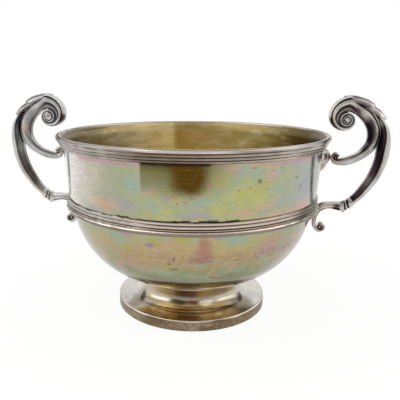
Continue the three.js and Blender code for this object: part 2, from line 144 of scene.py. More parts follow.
# The opening fades in from 72 to 14 degrees off its middle, whose cosines are 0.3 and 0.97.
tent = add(tree, "ShaderNodeMapRange", {"Value": facing.outputs["Value"], "From Min": 0.3,
                                        "From Max": 0.97, "To Min": 1.0, "To Max": TENT_OPENING},
           interpolation_type="SMOOTHSTEP")
seen = add(tree, "ShaderNodeMath", {0: rays["Is Camera Ray"], 1: rays["Is Transmission Ray"]},
           operation="MAXIMUM")
room = add(tree, "ShaderNodeMix", {"Factor": rays["Is Glossy Ray"], "A": FILL_LIGHT, "B": tent})
strength = add(tree, "ShaderNodeMix", {"Factor": seen, "A": room, "B": 1.0})
sky = add(tree, "ShaderNodeBackground", {"Color": (1, 1, 1, 1), "Strength": strength})
add(tree, "ShaderNodeOutputWorld", {"Surface": sky})
print("light tent:", len(tree.nodes), "nodes")

# %% [markdown]
# The table is a sheet of matt white card, which takes the cup's soft shadow. A curved sweep of
# paper is the usual ground, but the tent is white already, so a flat sheet is enough. Seen
# directly or in the silver it is lifted to white, so the picture's ground stays pale.

# %% Floor
FLOOR_SIZE = 3.0
FLOOR_GLOW = 1.05
FLOOR_LIFT = 0.86

card = bpy.data.materials.new("matt_white_card")
card.use_nodes = True
tree = card.node_tree
tree.nodes.clear()
rays = add(tree, "ShaderNodeLightPath").outputs
grain = add(tree, "ShaderNodeTexNoise", {"Scale": 900.0, "Detail": 3.0})
paper = add(tree, "ShaderNodeMix", {0: grain, 6: linear("f2f1ef"), 7: linear("f6f5f3")}, data_type="RGBA")
matt = add(tree, "ShaderNodeBsdfDiffuse", {"Color": paper.outputs[2]})
glow = add(tree, "ShaderNodeEmission", {"Color": (1, 1, 1, 1), "Strength": FLOOR_GLOW})
seen = add(tree, "ShaderNodeMath", {0: rays["Is Camera Ray"], 1: rays["Is Transmission Ray"]},
           operation="MAXIMUM")
seen = add(tree, "ShaderNodeMath", {0: seen, 1: rays["Is Glossy Ray"]}, operation="MAXIMUM")
lift = add(tree, "ShaderNodeMath", {0: seen, 1: FLOOR_LIFT}, operation="MULTIPLY")
surface = add(tree, "ShaderNodeMixShader", {0: lift, 1: matt, 2: glow})
add(tree, "ShaderNodeOutputMaterial", {"Surface": surface})

floor_mesh = bpy.data.meshes.new("table")
corners = [(x * FLOOR_SIZE / 2, y * FLOOR_SIZE / 2, 0) for x, y in ((-1, -1), (1, -1), (1, 1), (-1, 1))]
floor_mesh.from_pydata(corners, [], [(0, 1, 2, 3)])
floor_mesh.materials.append(card)
table = bpy.data.objects.new("table", floor_mesh)
bpy.context.scene.collection.objects.link(table)
print("table, m:", FLOOR_SIZE)

# %% [markdown]
# Two large soft boxes stand left and right. Small lamps would burn hard spots into the silver,
# while boxes a metre wide give the mouldings their long bright lines and a faint shadow.

# %% Lamps
CUP_MIDDLE = Vector((0, 0, 0.09))
# A lamp is a name, a place and a size in metres, and a power in watts.
LAMPS = (("left_box", (-0.9, -0.35, 0.9), 1.2, 5.0), ("right_box", (0.95, 0.1, 0.8), 1.0, 2.6))

for name, place, size, power in LAMPS:
    lamp = bpy.data.lights.new(name, "AREA")
    lamp.size = size
    lamp.energy = power
    stand = bpy.data.objects.new(name, lamp)
    stand.location = place
    stand.rotation_euler = (CUP_MIDDLE - Vector(place)).to_track_quat("-Z", "Y").to_euler()
    bpy.context.scene.collection.objects.link(stand)
    print(name, "gives", power, "W")

# %% [markdown]
# The bowl, both mouldings and the foot were raised, drawn or spun, so each is an outline turned
# about the cup's upright line. A Screw modifier could do it. A lathe tree in Geometry Nodes suits
# them all better: it sweeps the outline round a small circle, joins the seam and puts the finish
# on, and the number of steps stays a named input.

# %% The lathe tree
# The outline is moved in by the small circle's radius first, so sweeping brings it back out.
HUB = 10 * MM
SEAM = 0.005 * MM

lathe = bpy.data.node_groups.new("turned_on_a_lathe", "GeometryNodeTree")
lathe.interface.new_socket("Outline", in_out="INPUT", socket_type="NodeSocketGeometry")
steps_socket = lathe.interface.new_socket("Steps Round", in_out="INPUT", socket_type="NodeSocketInt")
finish_socket = lathe.interface.new_socket("Finish", in_out="INPUT", socket_type="NodeSocketMaterial")
lathe.interface.new_socket("Piece", in_out="OUTPUT", socket_type="NodeSocketGeometry")
given = add(lathe, "NodeGroupInput").outputs
outline = add(lathe, "GeometryNodeTransform", {"Geometry": given["Outline"], "Translation": (-HUB, 0, 0),
                                               "Rotation": (math.pi / 2, 0, 0)})
line = add(lathe, "GeometryNodeMeshToCurve", {"Mesh": outline})
circle = add(lathe, "GeometryNodeCurvePrimitiveCircle", {"Radius": HUB, "Resolution": given["Steps Round"]})
upright = add(lathe, "GeometryNodeSetCurveNormal", {"Curve": circle}, mode="Z_UP")
swept = add(lathe, "GeometryNodeCurveToMesh", {"Curve": upright, "Profile Curve": line})
joined = add(lathe, "GeometryNodeMergeByDistance", {"Geometry": swept, "Distance": SEAM})
smooth = add(lathe, "GeometryNodeSetShadeSmooth", {"Geometry": joined})
real = add(lathe, "GeometryNodeRealizeInstances", {"Geometry": smooth})
painted = add(lathe, "GeometryNodeSetMaterial", {"Geometry": real, "Material": given["Finish"]})
add(lathe, "NodeGroupOutput", {"Piece": painted})
print("lathe:", len(lathe.nodes), "nodes")

# %% [markdown]
# A turned piece starts as a bare line of points that gets the lathe as a modifier. A curve object
# could be the start too, but a line of points needs no handles. The result is taken as a plain
# mesh, so nothing is left to be worked out later.

# %% Turning an outline
STEPS_ROUND = 256


def turn(name, points, finish, ring=False):
    """Turns an outline of (radius, height) in mm and returns the mesh. A ring is a closed outline."""
    line_mesh = bpy.data.meshes.new(name + "_outline")
    edges = [(i, i + 1) for i in range(len(points) - 1)]
    if ring:
        edges.append((len(points) - 1, 0))
    line_mesh.from_pydata([(r * MM, 0, z * MM) for r, z in points], edges, [])
    blank = bpy.data.objects.new(name + "_outline", line_mesh)
    bpy.context.scene.collection.objects.link(blank)
    work = blank.modifiers.new("lathe", "NODES")
    work.node_group = lathe
    work[steps_socket.identifier] = STEPS_ROUND
    work[finish_socket.identifier] = finish
    graph = bpy.context.evaluated_depsgraph_get()
    mesh = bpy.data.meshes.new_from_object(blank.evaluated_get(graph), depsgraph=graph)
    mesh.name = name
    bpy.data.objects.remove(blank)
    return mesh


def arc(centre, radius, start, end, steps):
    """Points on an arc between two directions, in degrees up from straight outwards."""
    turns = np.radians(np.linspace(start, end, steps + 1))
    return [(centre[0] + radius * math.cos(t), centre[1] + radius * math.sin(t)) for t in turns]


print("steps round each turned piece:", STEPS_ROUND)

# %% [markdown]
# A smith cleans each piece before soldering it on. A mesh is cleaned too: doubles are merged,
# faces turned outwards, and edges that a tool would leave sharp are marked sharp, while the rest
# shades smoothly. An edge split would give the same look, but it would cut the piece open.

# %% Cleaning a mesh
SHARP_EDGE = math.radians(38)
DOUBLES = 0.004 * MM
SLIVERS = 0.001 * MM


def tidy_mesh(mesh):
    """Merges doubles, turns the faces outwards, marks sharp edges and counts the open ones."""
    shape = bmesh.new()
    shape.from_mesh(mesh)
    bmesh.ops.remove_doubles(shape, verts=shape.verts, dist=DOUBLES)
    bmesh.ops.dissolve_degenerate(shape, edges=shape.edges, dist=SLIVERS)
    bmesh.ops.recalc_face_normals(shape, faces=shape.faces)
    if shape.calc_volume(signed=True) < 0:
        bmesh.ops.reverse_faces(shape, faces=shape.faces)
    open_edges = sum(not edge.is_manifold for edge in shape.edges)
    for face in shape.faces:
        face.smooth = True
    shape.to_mesh(mesh)
    shape.free()
    mesh.set_sharp_from_angle(angle=SHARP_EDGE)
    return open_edges


print("edges that turn more than", round(math.degrees(SHARP_EDGE)), "degrees stay sharp")

# %% [markdown]
# The whole cup is one soldered body, so every piece rides on it. A piece could be a child of the
# solid, but one function puts each piece on the body and hides the solid that it stands for, so
# that none is forgotten.

# %% Showing a piece
def show(name, mesh, node):
    """Puts a finished mesh in the scene, riding on the cup and standing for a solid."""
    piece = bpy.data.objects.new(name, mesh)
    bpy.context.scene.collection.objects.link(piece)
    open_edges = tidy_mesh(mesh)
    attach(piece, "root")
    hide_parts(node)
    print(f"{name}: {len(mesh.polygons)} faces, {open_edges} open edges")


# %% [markdown]
# The bowl was raised from sheet 1.4 mm thick. Its wall narrows by 3 mm from lip to girdle. Below
# the girdle it is fuller than a half circle. The curve could be typed as points, but a squarish
# oval follows it with four numbers.

# %% Bowl sizes
LIP_RADIUS = 110
LIP_TOP = 146.8
SHEET = 1.4
WALL_TOP_RADIUS = 104.7
WALL_TAPER = 3.2
BOWL_EDGE_RADIUS = 106.9
RIM_BOTTOM = 137.1
GIRDLE_TOP = 98.8
WIRE_TOP = 93.8
WIRE_HEIGHT = 91.3
GIRDLE_BOTTOM = 88.8
BELLY_RADIUS = 99.5
BELLY_CENTRE = 108
BELLY_DEPTH = 85.8
BELLY_SQUARENESS = 2.48

print("height of the bowl, mm:", round(LIP_TOP - BELLY_CENTRE + BELLY_DEPTH, 1))

# %% [markdown]
# Other pieces ask where the bowl's wall is: the mouldings, the collar and the plates. They could
# measure the finished mesh, but small functions answer at any height before there is a mesh.

# %% Curves of the wall and the belly
def wall_radius(height):
    return WALL_TOP_RADIUS - WALL_TAPER * (LIP_TOP - height) / (LIP_TOP - GIRDLE_TOP)


def belly_radius(height):
    share = (BELLY_CENTRE - height) / BELLY_DEPTH
    return BELLY_RADIUS * (1 - share ** BELLY_SQUARENESS) ** (1 / BELLY_SQUARENESS)


def belly_height(radius):
    share = radius / BELLY_RADIUS
    return BELLY_CENTRE - BELLY_DEPTH * (1 - share ** BELLY_SQUARENESS) ** (1 / BELLY_SQUARENESS)


def bowl_radius(height):
    """The bowl's outside at any height above the foot."""
    return wall_radius(height) if height > WIRE_HEIGHT else belly_radius(height)


print("radius at the girdle, mm:", round(wall_radius(GIRDLE_TOP), 1))

# %% [markdown]
# The outline runs from the middle of the bottom round the belly, up the wall and out to the lip.
# With a negative growth the same function gives the inside, one sheet's thickness in. A Solidify
# modifier could thicken one skin, but two outlines meet exactly at the edge.

# %% Bowl outline
BELLY_POINTS = 57
WALL_POINTS = 17
FLARE_POINTS = 7


def bowl_outline(grow):
    """The bowl's outside, or a skin that lies some mm further out."""
    last = belly_radius(WIRE_HEIGHT)
    points = []
    for turn_share in np.linspace(0, 1, BELLY_POINTS):
        angle = turn_share * math.pi / 2
        radius = last * math.sin(angle)
        points.append((radius + grow * math.sin(angle), belly_height(radius) - grow * math.cos(angle)))
    for height in np.linspace(WIRE_TOP, RIM_BOTTOM, WALL_POINTS):
        points.append((wall_radius(height) + grow, height))
    flare_start = wall_radius(RIM_BOTTOM)
    for share in np.linspace(0.15, 1, FLARE_POINTS):
        points.append((flare_start + (BOWL_EDGE_RADIUS - flare_start) * (share * share) + grow,
                       RIM_BOTTOM + (LIP_TOP - SHEET - RIM_BOTTOM) * share))
    return points


print("points on the bowl's outside:", len(bowl_outline(0)))

# %% [markdown]
# Every finish on this cup is silver that air, cloth and polish have changed in different ways.
# Painted pictures could say where, but masks that are computed stay sharp from near and far.
# A mask is a product: of shares, of fades from one place to another, and of bands and ovals.

# %% Masks
def new_finish(name):
    """An empty material, and its tree of nodes."""
    finish = bpy.data.materials.new(name)
    finish.use_nodes = True
    finish.node_tree.nodes.clear()
    return finish, finish.node_tree


def where(tree, *parts):
    """Multiplies the parts of a mask. A part is a share, a socket, a fade or a band. A fade is
    (value, from, to) and grows from 0 to 1. A band is (value, from, to, soft) and is 1 between."""
    product = None
    for part in parts:
        if isinstance(part, tuple) and len(part) == 4:
            value, start, end, soft = part
            part = where(tree, (value, start - soft, start + soft), (value, end + soft, end - soft))
        elif isinstance(part, tuple):
            part = add(tree, "ShaderNodeMapRange", {"Value": part[0], "From Min": part[1],
                                                    "From Max": part[2]}, interpolation_type="SMOOTHSTEP")
        if product is not None:
            part = add(tree, "ShaderNodeMath", {0: product, 1: part}, operation="MULTIPLY")
        product = part
    return product


def either(tree, *masks):
    """The strongest of several masks."""
    strongest = masks[0]
    for mask in masks[1:]:
        strongest = add(tree, "ShaderNodeMath", {0: strongest, 1: mask}, operation="MAXIMUM")
    return strongest


print("materials before the first finish:", len(bpy.data.materials))

# %% [markdown]
# A stain has a middle, a size and a soft edge. A picture of a blot could be placed with a mapping,
# but the distance from its middle is enough: stretched space makes the round fade an oval.

# %% Ovals
OVAL_EDGE = 0.4


def oval(tree, label, centre, size, edge=OVAL_EDGE):
    """A soft oval mask in mm. Edge is the share of it at full strength."""
    local = add(tree, "ShaderNodeMapping", {"Vector": label, "Location": centre, "Scale": size},
                vector_type="TEXTURE")
    away = add(tree, "ShaderNodeVectorMath", {0: local}, operation="LENGTH").outputs["Value"]
    return where(tree, (away, 1.0, edge))


def ovals(tree, label, places, edge):
    """Several ovals on the label. Each is mm round, mm up, half width and half height."""
    return either(tree, *(oval(tree, label, (u, v, 0), (wide, tall, 1), edge)
                          for u, v, wide, tall in places))


def from_middle(tree, value, middle):
    """How far a value is from a middle, on either side."""
    away = add(tree, "ShaderNodeMath", {0: value, 1: middle}, operation="SUBTRACT")
    return add(tree, "ShaderNodeMath", {0: away}, operation="ABSOLUTE")


print("an oval is at full strength up to this share of its size:", OVAL_EDGE)

# %% [markdown]
# Clouds of a real size stand for all that is uneven in a film or a polish. They could be painted.
# As noise they stay the same size on every piece, and they can stir a value before a scale of
# colours turns it into tints.

# %% Clouds and scales of colour
def clouds(tree, place, size, stretch=(1, 1, 1), detail=4.0, roughness=0.6, swirl=0.0):
    """Noise of a real size in mm. Stretch squeezes it along each axis."""
    moved = add(tree, "ShaderNodeVectorMath", {0: place, 1: stretch}, operation="MULTIPLY")
    return add(tree, "ShaderNodeTexNoise", {"Vector": moved, "Scale": 1 / (size * MM), "Detail": detail,
                                            "Roughness": roughness, "Distortion": swirl})


def stirred(tree, base, *stirs):
    """Adds clouds to a value. Each stir is a cloud and its share, counted up and down from its middle."""
    for cloud, share in stirs:
        base = add(tree, "ShaderNodeMath", {0: cloud, 1: share, 2: base}, operation="MULTIPLY_ADD")
        base = add(tree, "ShaderNodeMath", {0: base, 1: share / 2}, operation="SUBTRACT")
    return base


def with_stops(ramp, stops):
    """Gives a colour ramp its stops, each a position and a screen colour, and returns its colour."""
    colours = ramp.color_ramp.elements
    for position, colour in stops[2:]:
        colours.new(position)
    for element, (position, colour) in zip(colours, stops):
        element.position = position
        element.color = linear(colour)
    return ramp.outputs["Color"]


print("noise scale of a cloud of 10 mm:", round(1 / (10 * MM)))

# %% [markdown]
# Colours lie over each other like glazes, each through its mask. One long scale of colours could
# hold them all, but then no stain could be moved without moving the others. Below them all is
# bare metal, whose roughness and fine relief follow a cloud too.

# %% Glazes and metal
ROUGHNESS_FROM, ROUGHNESS_TO = 0.3, 0.7


def glaze(tree, colour, *glazes):
    """Lays glazes over a colour, the lowest first. Each is a tint, then the parts of its mask."""
    for tint, *mask in glazes:
        over = linear(tint) if isinstance(tint, str) else tint
        # A colour mix takes its share at input 0 and its two colours at inputs 6 and 7.
        mix = add(tree, "ShaderNodeMix", {0: where(tree, *mask), 6: colour, 7: over}, data_type="RGBA")
        colour = mix.outputs[2]
    return colour


def metal(tree, colour, unevenness, smoothest, roughest, relief, depth):
    """Closes a finish: a bare metal whose roughness follows a cloud, with a fine relief in mm."""
    roughness = add(tree, "ShaderNodeMapRange", {"Value": unevenness, "From Min": ROUGHNESS_FROM,
                                                 "From Max": ROUGHNESS_TO, "To Min": smoothest,
                                                 "To Max": roughest})
    bump = add(tree, "ShaderNodeBump", {"Height": relief, "Strength": 1.0, "Distance": depth * MM})
    shader = add(tree, "ShaderNodeBsdfPrincipled", {"Base Color": colour, "Metallic": 1.0,
                                                    "Roughness": roughness, "Normal": bump})
    add(tree, "ShaderNodeOutputMaterial", {"Surface": shader})
    print("finish done:", len(tree.nodes), "nodes")


print("the roughness follows a cloud from", ROUGHNESS_FROM, "to", ROUGHNESS_TO)

# %% [markdown]
# Stains need an address. A turned surface can be unrolled like a label: millimetres round the
# wall from the front, and millimetres up. A texture map would need seams and a picture. Here stains
# are ovals on that label, and their edges wander a little, as a stain's edge does.

# %% The label round the cup
UNROLL_RADIUS = 103.0
DRIFT_SCALE = 75.0


def unroll(tree, wander=0.0):
    """Returns the place in metres, the label's point, and mm round, up and across."""
    place = add(tree, "ShaderNodeTexCoord").outputs["Object"]
    across, back, up = add(tree, "ShaderNodeSeparateXYZ", {0: place}).outputs
    front = add(tree, "ShaderNodeMath", {0: back, 1: -1.0}, operation="MULTIPLY")
    angle = add(tree, "ShaderNodeMath", {0: across, 1: front}, operation="ARCTAN2")
    mm_round = add(tree, "ShaderNodeMath", {0: angle, 1: UNROLL_RADIUS}, operation="MULTIPLY")
    mm_up = add(tree, "ShaderNodeMath", {0: up, 1: 1 / MM}, operation="MULTIPLY")
    mm_across = add(tree, "ShaderNodeMath", {0: across, 1: 1 / MM}, operation="MULTIPLY")
    label = add(tree, "ShaderNodeCombineXYZ", {0: mm_round, 1: mm_up})
    drift = add(tree, "ShaderNodeTexNoise", {"Vector": place, "Scale": DRIFT_SCALE, "Detail": 3.0})
    label = add(tree, "ShaderNodeVectorMath", {0: drift.outputs["Color"], 1: (wander, wander, 0), 2: label},
                operation="MULTIPLY_ADD")
    label = add(tree, "ShaderNodeVectorMath", {0: label, 1: (wander / 2, wander / 2, 0)},
                operation="SUBTRACT")
    return place, label, mm_round, mm_up, mm_across


print("the label's length, mm:", round(2 * math.pi * UNROLL_RADIUS))

# %% [markdown]
# The bowl is raised silver, polished and then left in air, so it wears a film of sulphide. Where
# the film is thin it splits light into pastel bands, as oil on water does: straw, olive, sage,
# blue grey, lilac, pink, then brown. Each band could be painted by hand. One field that stands
# for the film's thickness is closer to how it grows, and a scale of colours turns it into bands.
# To the eye the wall runs from white silver on the left to olive and straw on the right. The
# white on the left is partly a painted reflection of the left soft box.

# %% Film on the wall
tarnished_silver, tree = new_finish("tarnished_polished_silver")
place, label, mm_round, mm_up, mm_across = unroll(tree, 7.0)
# The large clouds are coarser than real ones, so that the bands show from a step away.
big = clouds(tree, place, 33, (1, 1, 1.2), 2.0, 0.5, 0.4)
small = clouds(tree, place, 10.5, (1, 1, 2.0), 4.0, 0.6, 0.3)
# Polishing leaves level lines under a millimetre high. They are drawn at 1 mm to show.
level_lines = clouds(tree, place, 26, (1, 1, 26), 4.0, 0.7)
grain = clouds(tree, place, 1.9, (1, 1, 2), 3.0, 0.7)

# The film is thin on the left and thick in the middle and on the right. Its near white on the
# left is partly a painted reflection of the left soft box.
film_and_reflection = add(tree, "ShaderNodeMath", {0: where(tree, (mm_across, -106, -22), 0.66),
                                    1: where(tree, (mm_across, 12, 44), 0.08)}, operation="ADD")
film_and_reflection = add(tree, "ShaderNodeMath", {0: film_and_reflection, 1: where(tree, (mm_across, 68, 100), 0.2)}, operation="SUBTRACT")
film_and_reflection = stirred(tree, film_and_reflection, (big, 0.32), (small, 0.3), (level_lines, 0.3), (grain, 0.42))
wall = with_stops(add(tree, "ShaderNodeValToRGB", {"Fac": film_and_reflection}), [
    (0.0, "efeeec"), (0.1, "e3e0dd"), (0.22, "cdc7bf"), (0.36, "bdb7a2"), (0.5, "a7aa93"),
    (0.62, "a2a988"), (0.74, "adb080"), (0.85, "b5b378"), (0.94, "b9a974"), (1.0, "b79c7a")])
print("film:", len(tree.nodes), "nodes")

# %% [markdown]
# A thicker film repeats its colours in paler pink, sage and gold, in patches over the first. Pure
# noise would put them anywhere. So clouds give the small ones, and ovals on the label place the
# large ones, each where the real cup has its patch.

# %% Patches of second colours
second = clouds(tree, place, 28, (1.3, 1.3, 1.8), 4.0, 0.62, 0.5)
third = clouds(tree, place, 23, (-1.1, 1.2, 1.6), 4.0, 0.62, 0.5)
fourth = clouds(tree, place, 15, (1.2, -1.1, 2.2), 4.0, 0.62, 0.4)
from_left = where(tree, (mm_across, -70, -15))
wall = glaze(tree, wall, ("98aba6", (second, 0.48, 0.66), from_left, 0.8),
             ("c6a594", (third, 0.5, 0.68), from_left, 0.7),
             ("bbaa58", (fourth, 0.55, 0.7), from_left, 0.7), ("a7adac", (mm_across, 58, 88), 0.75))
# A row is a tint, its share, and the ovals: mm round, mm up, half width and half height.
WALL_PATCHES = [
    ("bbb970", 0.65, [(44, 118, 19, 12), (30, 127, 12, 9), (56, 113, 14, 9), (-8, 104, 9, 7),
                      (28, 106, 10, 5)]),
    ("98aea6", 0.65, [(72, 119, 15, 9), (-30, 122, 13, 12), (16, 112, 13, 6), (52, 131, 13, 5)]),
    ("cba58c", 0.65, [(62, 107, 14, 5), (-52, 106, 22, 8), (45, 103, 15, 4), (100, 104, 16, 6)]),
    ("a19eaa", 0.7, [(-35, 108, 13, 8), (102, 117, 10, 15), (12, 103, 22, 4), (-6, 114, 8, 6),
                     (-66, 101, 14, 4)])]
wall = glaze(tree, wall, *((tint, ovals(tree, label, places, 0.05), share)
                           for tint, share, places in WALL_PATCHES))
print("patches placed on the wall:", sum(len(places) for tint, share, places in WALL_PATCHES))

# %% [markdown]
# Under the lip the film is thickest: pink and orange lines. The brown run, halo and drop in the
# middle are a painted reflection of a dark thing in front of the cup. The olive band beside an
# upright line is painted too: that line is the edge of the left soft box's reflection, and the
# olive is shaded table seen in the silver. The near-black line under the lip's front is painted
# shade. These have firm shapes on the real cup, so each is drawn with its own bands and ovals.

# %% Under the lip
# The upright line is the painted edge of the left soft box's reflection.
box_reflection_edge = where(tree, (mm_round, -23.9, -22.4))
lower_end = stirred(tree, mm_up, (small, 14.0))
ragged = stirred(tree, mm_up, (small, 9.0), (grain, 5.0))
pink_left = where(tree, (mm_round, -80, -22.6, 1.0))
pink_right = where(tree, (mm_round, 34, 75), (mm_round, 128, 118))
# The halo, run and drop below are a painted reflection of a dark thing in front of the cup.
dark_reflection_halo = oval(tree, label, (4, 132, 0), (44, 23, 1), 0.1)
dark_reflection_streak = oval(tree, label, (-2, 141, 0), (44, 15, 1), 0.25)
dark_reflection_blob = oval(tree, label, (8.5, 129, 0), (16.5, 17, 1), 0.4)
# The olive beside the upright line and the dark halo, run and drop are painted reflection.
wall = glaze(tree, wall, ("7c8055", box_reflection_edge, (mm_round, 14, -22), (lower_end, 113, 128), 0.72),
             ("c089aa", (mm_up, 134.4, 136.6, 0.9), either(tree, pink_left, pink_right), 0.62),
             ("cf9f70", (mm_up, 136, 138, 0.5), (mm_round, 72, 122, 6), 0.5),
             ("d0a198", (mm_up, 98, 101.2, 1.4), (mm_round, 60, 125, 14), 0.6),
             ("716a3c", dark_reflection_halo, box_reflection_edge, 0.92),
             ("4d3b1a", dark_reflection_streak, box_reflection_edge, (ragged, 127, 135), 0.93),
             ("523802", dark_reflection_blob, (ragged, 110, 119), 0.96),
             ("80642c", dark_reflection_blob, (level_lines, 0.48, 0.7), 0.5),
             # The near-black line under the lip's front is painted shade.
             ("2c2116", (mm_up, 135.6, 140, 0.6), (mm_round, -22.7, 22, 1.5), 0.9))
print("wall:", len(tree.nodes), "nodes")

# %% [markdown]
# The belly hangs over the foot, where air stands still and a cloth slips. It is pinker and
# browner than the wall, then green and painted darker towards the bottom, as shade where it
# turns under, and pale again underneath. It could be a finish of its own, but a fade at the
# girdle's height keeps both on one unbroken sheet.

# %% The belly
below_girdle = add(tree, "ShaderNodeMapRange", {"Value": mm_up, "From Min": 88, "From Max": 42})
depth = stirred(tree, below_girdle, (big, 0.24), (small, 0.32), (level_lines, 0.34), (grain, 0.36))
# The darker greens at the end of this scale are painted shade towards the bottom.
belly = with_stops(add(tree, "ShaderNodeValToRGB", {"Fac": depth}), [
    (0.0, "a6a98a"), (0.12, "afa87b"), (0.24, "b5a277"), (0.38, "b09a79"), (0.48, "a69873"),
    (0.58, "97946b"), (0.7, "828867"), (1.0, "7b7f5f")])
off_left = where(tree, (mm_across, -84, -50))
belly = glaze(tree, belly, ("a2a493", (mm_across, -50, -78), 0.8), ("98938b", (mm_across, -72, -96), 0.85),
              ("a39a8a", (mm_across, 50, 80), 0.85), ("bf978f", (third, 0.48, 0.66), off_left, 0.6),
              ("96aa8e", (second, 0.5, 0.68), off_left, 0.6),
              ("b8a65e", (fourth, 0.52, 0.74), off_left, 0.55))
BELLY_PATCHES = [
    ("96ad9b", 0.7, [(-46, 82, 15, 7), (42, 84, 12, 6)]), ("8c9c7e", 0.5, [(0, 55, 30, 4.5), (42, 59, 18, 5)]),
    ("a387b0", 0.65, [(-38, 86.8, 10, 3), (30, 87.5, 9, 2)]),
    ("a57a6c", 0.85, [(20, 81, 7.5, 11), (19, 75, 11, 9), (17, 70.5, 13, 5)]),
    ("b08f96", 0.6, [(70, 75, 16, 9)]), ("a9a65a", 0.8, [(4, 86, 11, 5), (-16, 82, 9, 6), (-40, 76, 9, 5)])]
belly = glaze(tree, belly, *((tint, ovals(tree, label, places, 0.15), share)
                             for tint, share, places in BELLY_PATCHES))
# Towards the foot the belly is painted darker, as shade where it turns under, and under it the
# film is thin.
belly = glaze(tree, belly, ("9079a0", oval(tree, label, (-19.5, 80, 0), (4.4, 2.5, 1), 0.5), 0.75),
              ("6a6f50", (mm_up, 57, 50), 0.5), ("6d613a", (mm_up, 48, 44.5), 0.92),
              ("f2e9d6", (mm_up, 41, 37.5), 0.95))
skin = glaze(tree, wall, (belly, (mm_up, 90.6, 88.4)))
print("wall and belly:", len(tree.nodes), "nodes")

# %% [markdown]
# Beside the handles the wall is painted darker grey: a painted reflection of the handles, which
# the wall's edge shows as a dark line. In the corner above the girdle old polish has dried to a
# black crust. Both follow the cup's build, so both are measured from it: the distance from the
# handle's line, and the height above the girdle.

# %% Behind the handles and in the corner
QUARTER_ROUND = 162.0

from_front = from_middle(tree, mm_round, 0.0)
behind = stirred(tree, from_middle(tree, from_front, QUARTER_ROUND), (small, 12.0), (level_lines, 16.0))
crumbly = stirred(tree, mm_up, (grain, 1.3), (small, 2.4))
# The crust lies in pieces of 13 mm. Real ones are smaller, but then it would read as a line.
pieces = clouds(tree, place, 13, (1, 1, 0.3), 2.0, 0.5)
# The three greys beside the handles are a painted reflection of the handles.
skin = glaze(tree, skin, ("7d776f", (behind, 52, 30), 0.6),
             ("a89e8c", (behind, 48, 24), (third, 0.4, 0.62), 0.6),
             ("5c5a5c", (behind, 44, 20), (second, 0.45, 0.65), 0.5),
             ("26221f", (crumbly, 100.2, 99.5), (mm_up, 96, 97), (pieces, 0.49, 0.54),
              (mm_round, -128, 60, 14), 0.85))
print("with grey sides and crust:", len(tree.nodes), "nodes")

# %% [markdown]
# Last come small spots, where drops of water dried, and the scratches of wiping, which run
# mostly level and stay short. A scratch could be cut into the mesh, but as a tint and a fine
# relief it costs no faces. Real ones are 0.1 mm and these are 0.4 mm, so that they show.

# %% Spots and scratches
PINK_SPOTS = [(-1, 116, 2.6, 1.5), (6.3, 112, 2.2, 1.3), (0.6, 110, 1.3, 1.6), (22, 124, 2.2, 1.4),
              (51, 133, 1.9, 1.1), (65, 130.5, 1.8, 1.2), (73, 132, 1.8, 1), (41, 120, 1.5, 1),
              (48, 120.5, 1.4, 1)]
BROWN_SPOTS = [(55, 124.5, 3.0, 2.2), (89, 124, 2, 1.4), (94, 116, 1.1, 2.4), (-6, 66, 2, 1.2),
               (-2, 61, 5, 0.9), (42, 56, 6, 0.8), (30, 53.5, 7, 0.9)]

wipes = clouds(tree, place, 3.8, (1, 1, 9), 2.0, 0.5, 1.2)
# The crazing of the film is a net of lines: where a cloud crosses its middle value.
crazing = clouds(tree, place, 6.7, (1, 1, 2.4), 3.0, 0.55, 1.5)
skin = glaze(tree, skin, ("b8666a", ovals(tree, label, PINK_SPOTS, 0.3), 0.65),
             ("7a6a42", ovals(tree, label, BROWN_SPOTS, 0.3), 0.8), ("6f6554", (wipes, 0.59, 0.67), 0.42),
             ("6d4653", (from_middle(tree, crazing, 0.5), 0.026, 0.008), (mm_up, 67, 74, 2.5),
              (mm_round, -75, 10), 0.85))
metal(tree, skin, level_lines, 0.12, 0.2, level_lines, 0.014)

# %% [markdown]
# The inside was gilded, by fire or in a bath, and the gold has dulled. Gold of a few thousandths of
# a millimetre lets grey silver show where it was rubbed. To the eye it is an even olive brown,
# greyer at the left, with one bright stripe, which is a painted reflection. The side towards the
# viewer is bright gold, and only its reflection in the far side is seen. A second sheet for the gold
# could be modelled, but it is far too thin for one, so it is a finish of the bowl's inner faces.

# %% Gilding inside
gilding, tree = new_finish("dulled_gilding")
place, _, _, mm_up, _ = unroll(tree)
across, back, _ = add(tree, "ShaderNodeSeparateXYZ", {0: place}).outputs
angle_back = add(tree, "ShaderNodeMath", {0: across, 1: back}, operation="ARCTAN2")
turned_share = add(tree, "ShaderNodeMath", {0: angle_back, 1: 1 / (2 * math.pi), 2: 0.5},
                   operation="MULTIPLY_ADD")
mm_back = add(tree, "ShaderNodeMath", {0: angle_back, 1: UNROLL_RADIUS}, operation="MULTIPLY")
soft = clouds(tree, place, 25, (1, 1, 0.6), 4.0, 0.55, 0.2)
smear = clouds(tree, place, 17, (1, 1, 4), 5.0, 0.6)
grain = clouds(tree, place, 2.4, (1, 1, 1), 3.0, 0.7)
round_the_bowl = stirred(tree, turned_share, (soft, 0.012))
# The bright stripe near the middle of this scale is a painted reflection.
colour = with_stops(add(tree, "ShaderNodeValToRGB", {"Fac": round_the_bowl}), [
    (0.0, "f0e6c4"), (0.2, "d6cba8"), (0.255, "8f8578"), (0.319, "a0956f"), (0.373, "d2c094"),
    (0.421, "ecd298"), (0.449, "ffe8a4"), (0.459, "c3a358"), (0.512, "d0b57a"), (0.557, "b9a66b"),
    (0.605, "a89a5e"), (0.657, "60501a"), (0.73, "3c331c"), (0.8, "d6cba8"), (1.0, "f0e6c4")])
print("gold round the bowl:", len(tree.nodes), "nodes")

# %% [markdown]
# Where the sheet turns out under the lip the gold is worn and stained. The bottom, which a spoon
# and a cloth reach, is worn evenly, and wet hands left pale smears that run down. A second label,
# counted from the back, gives the far side its own addresses.

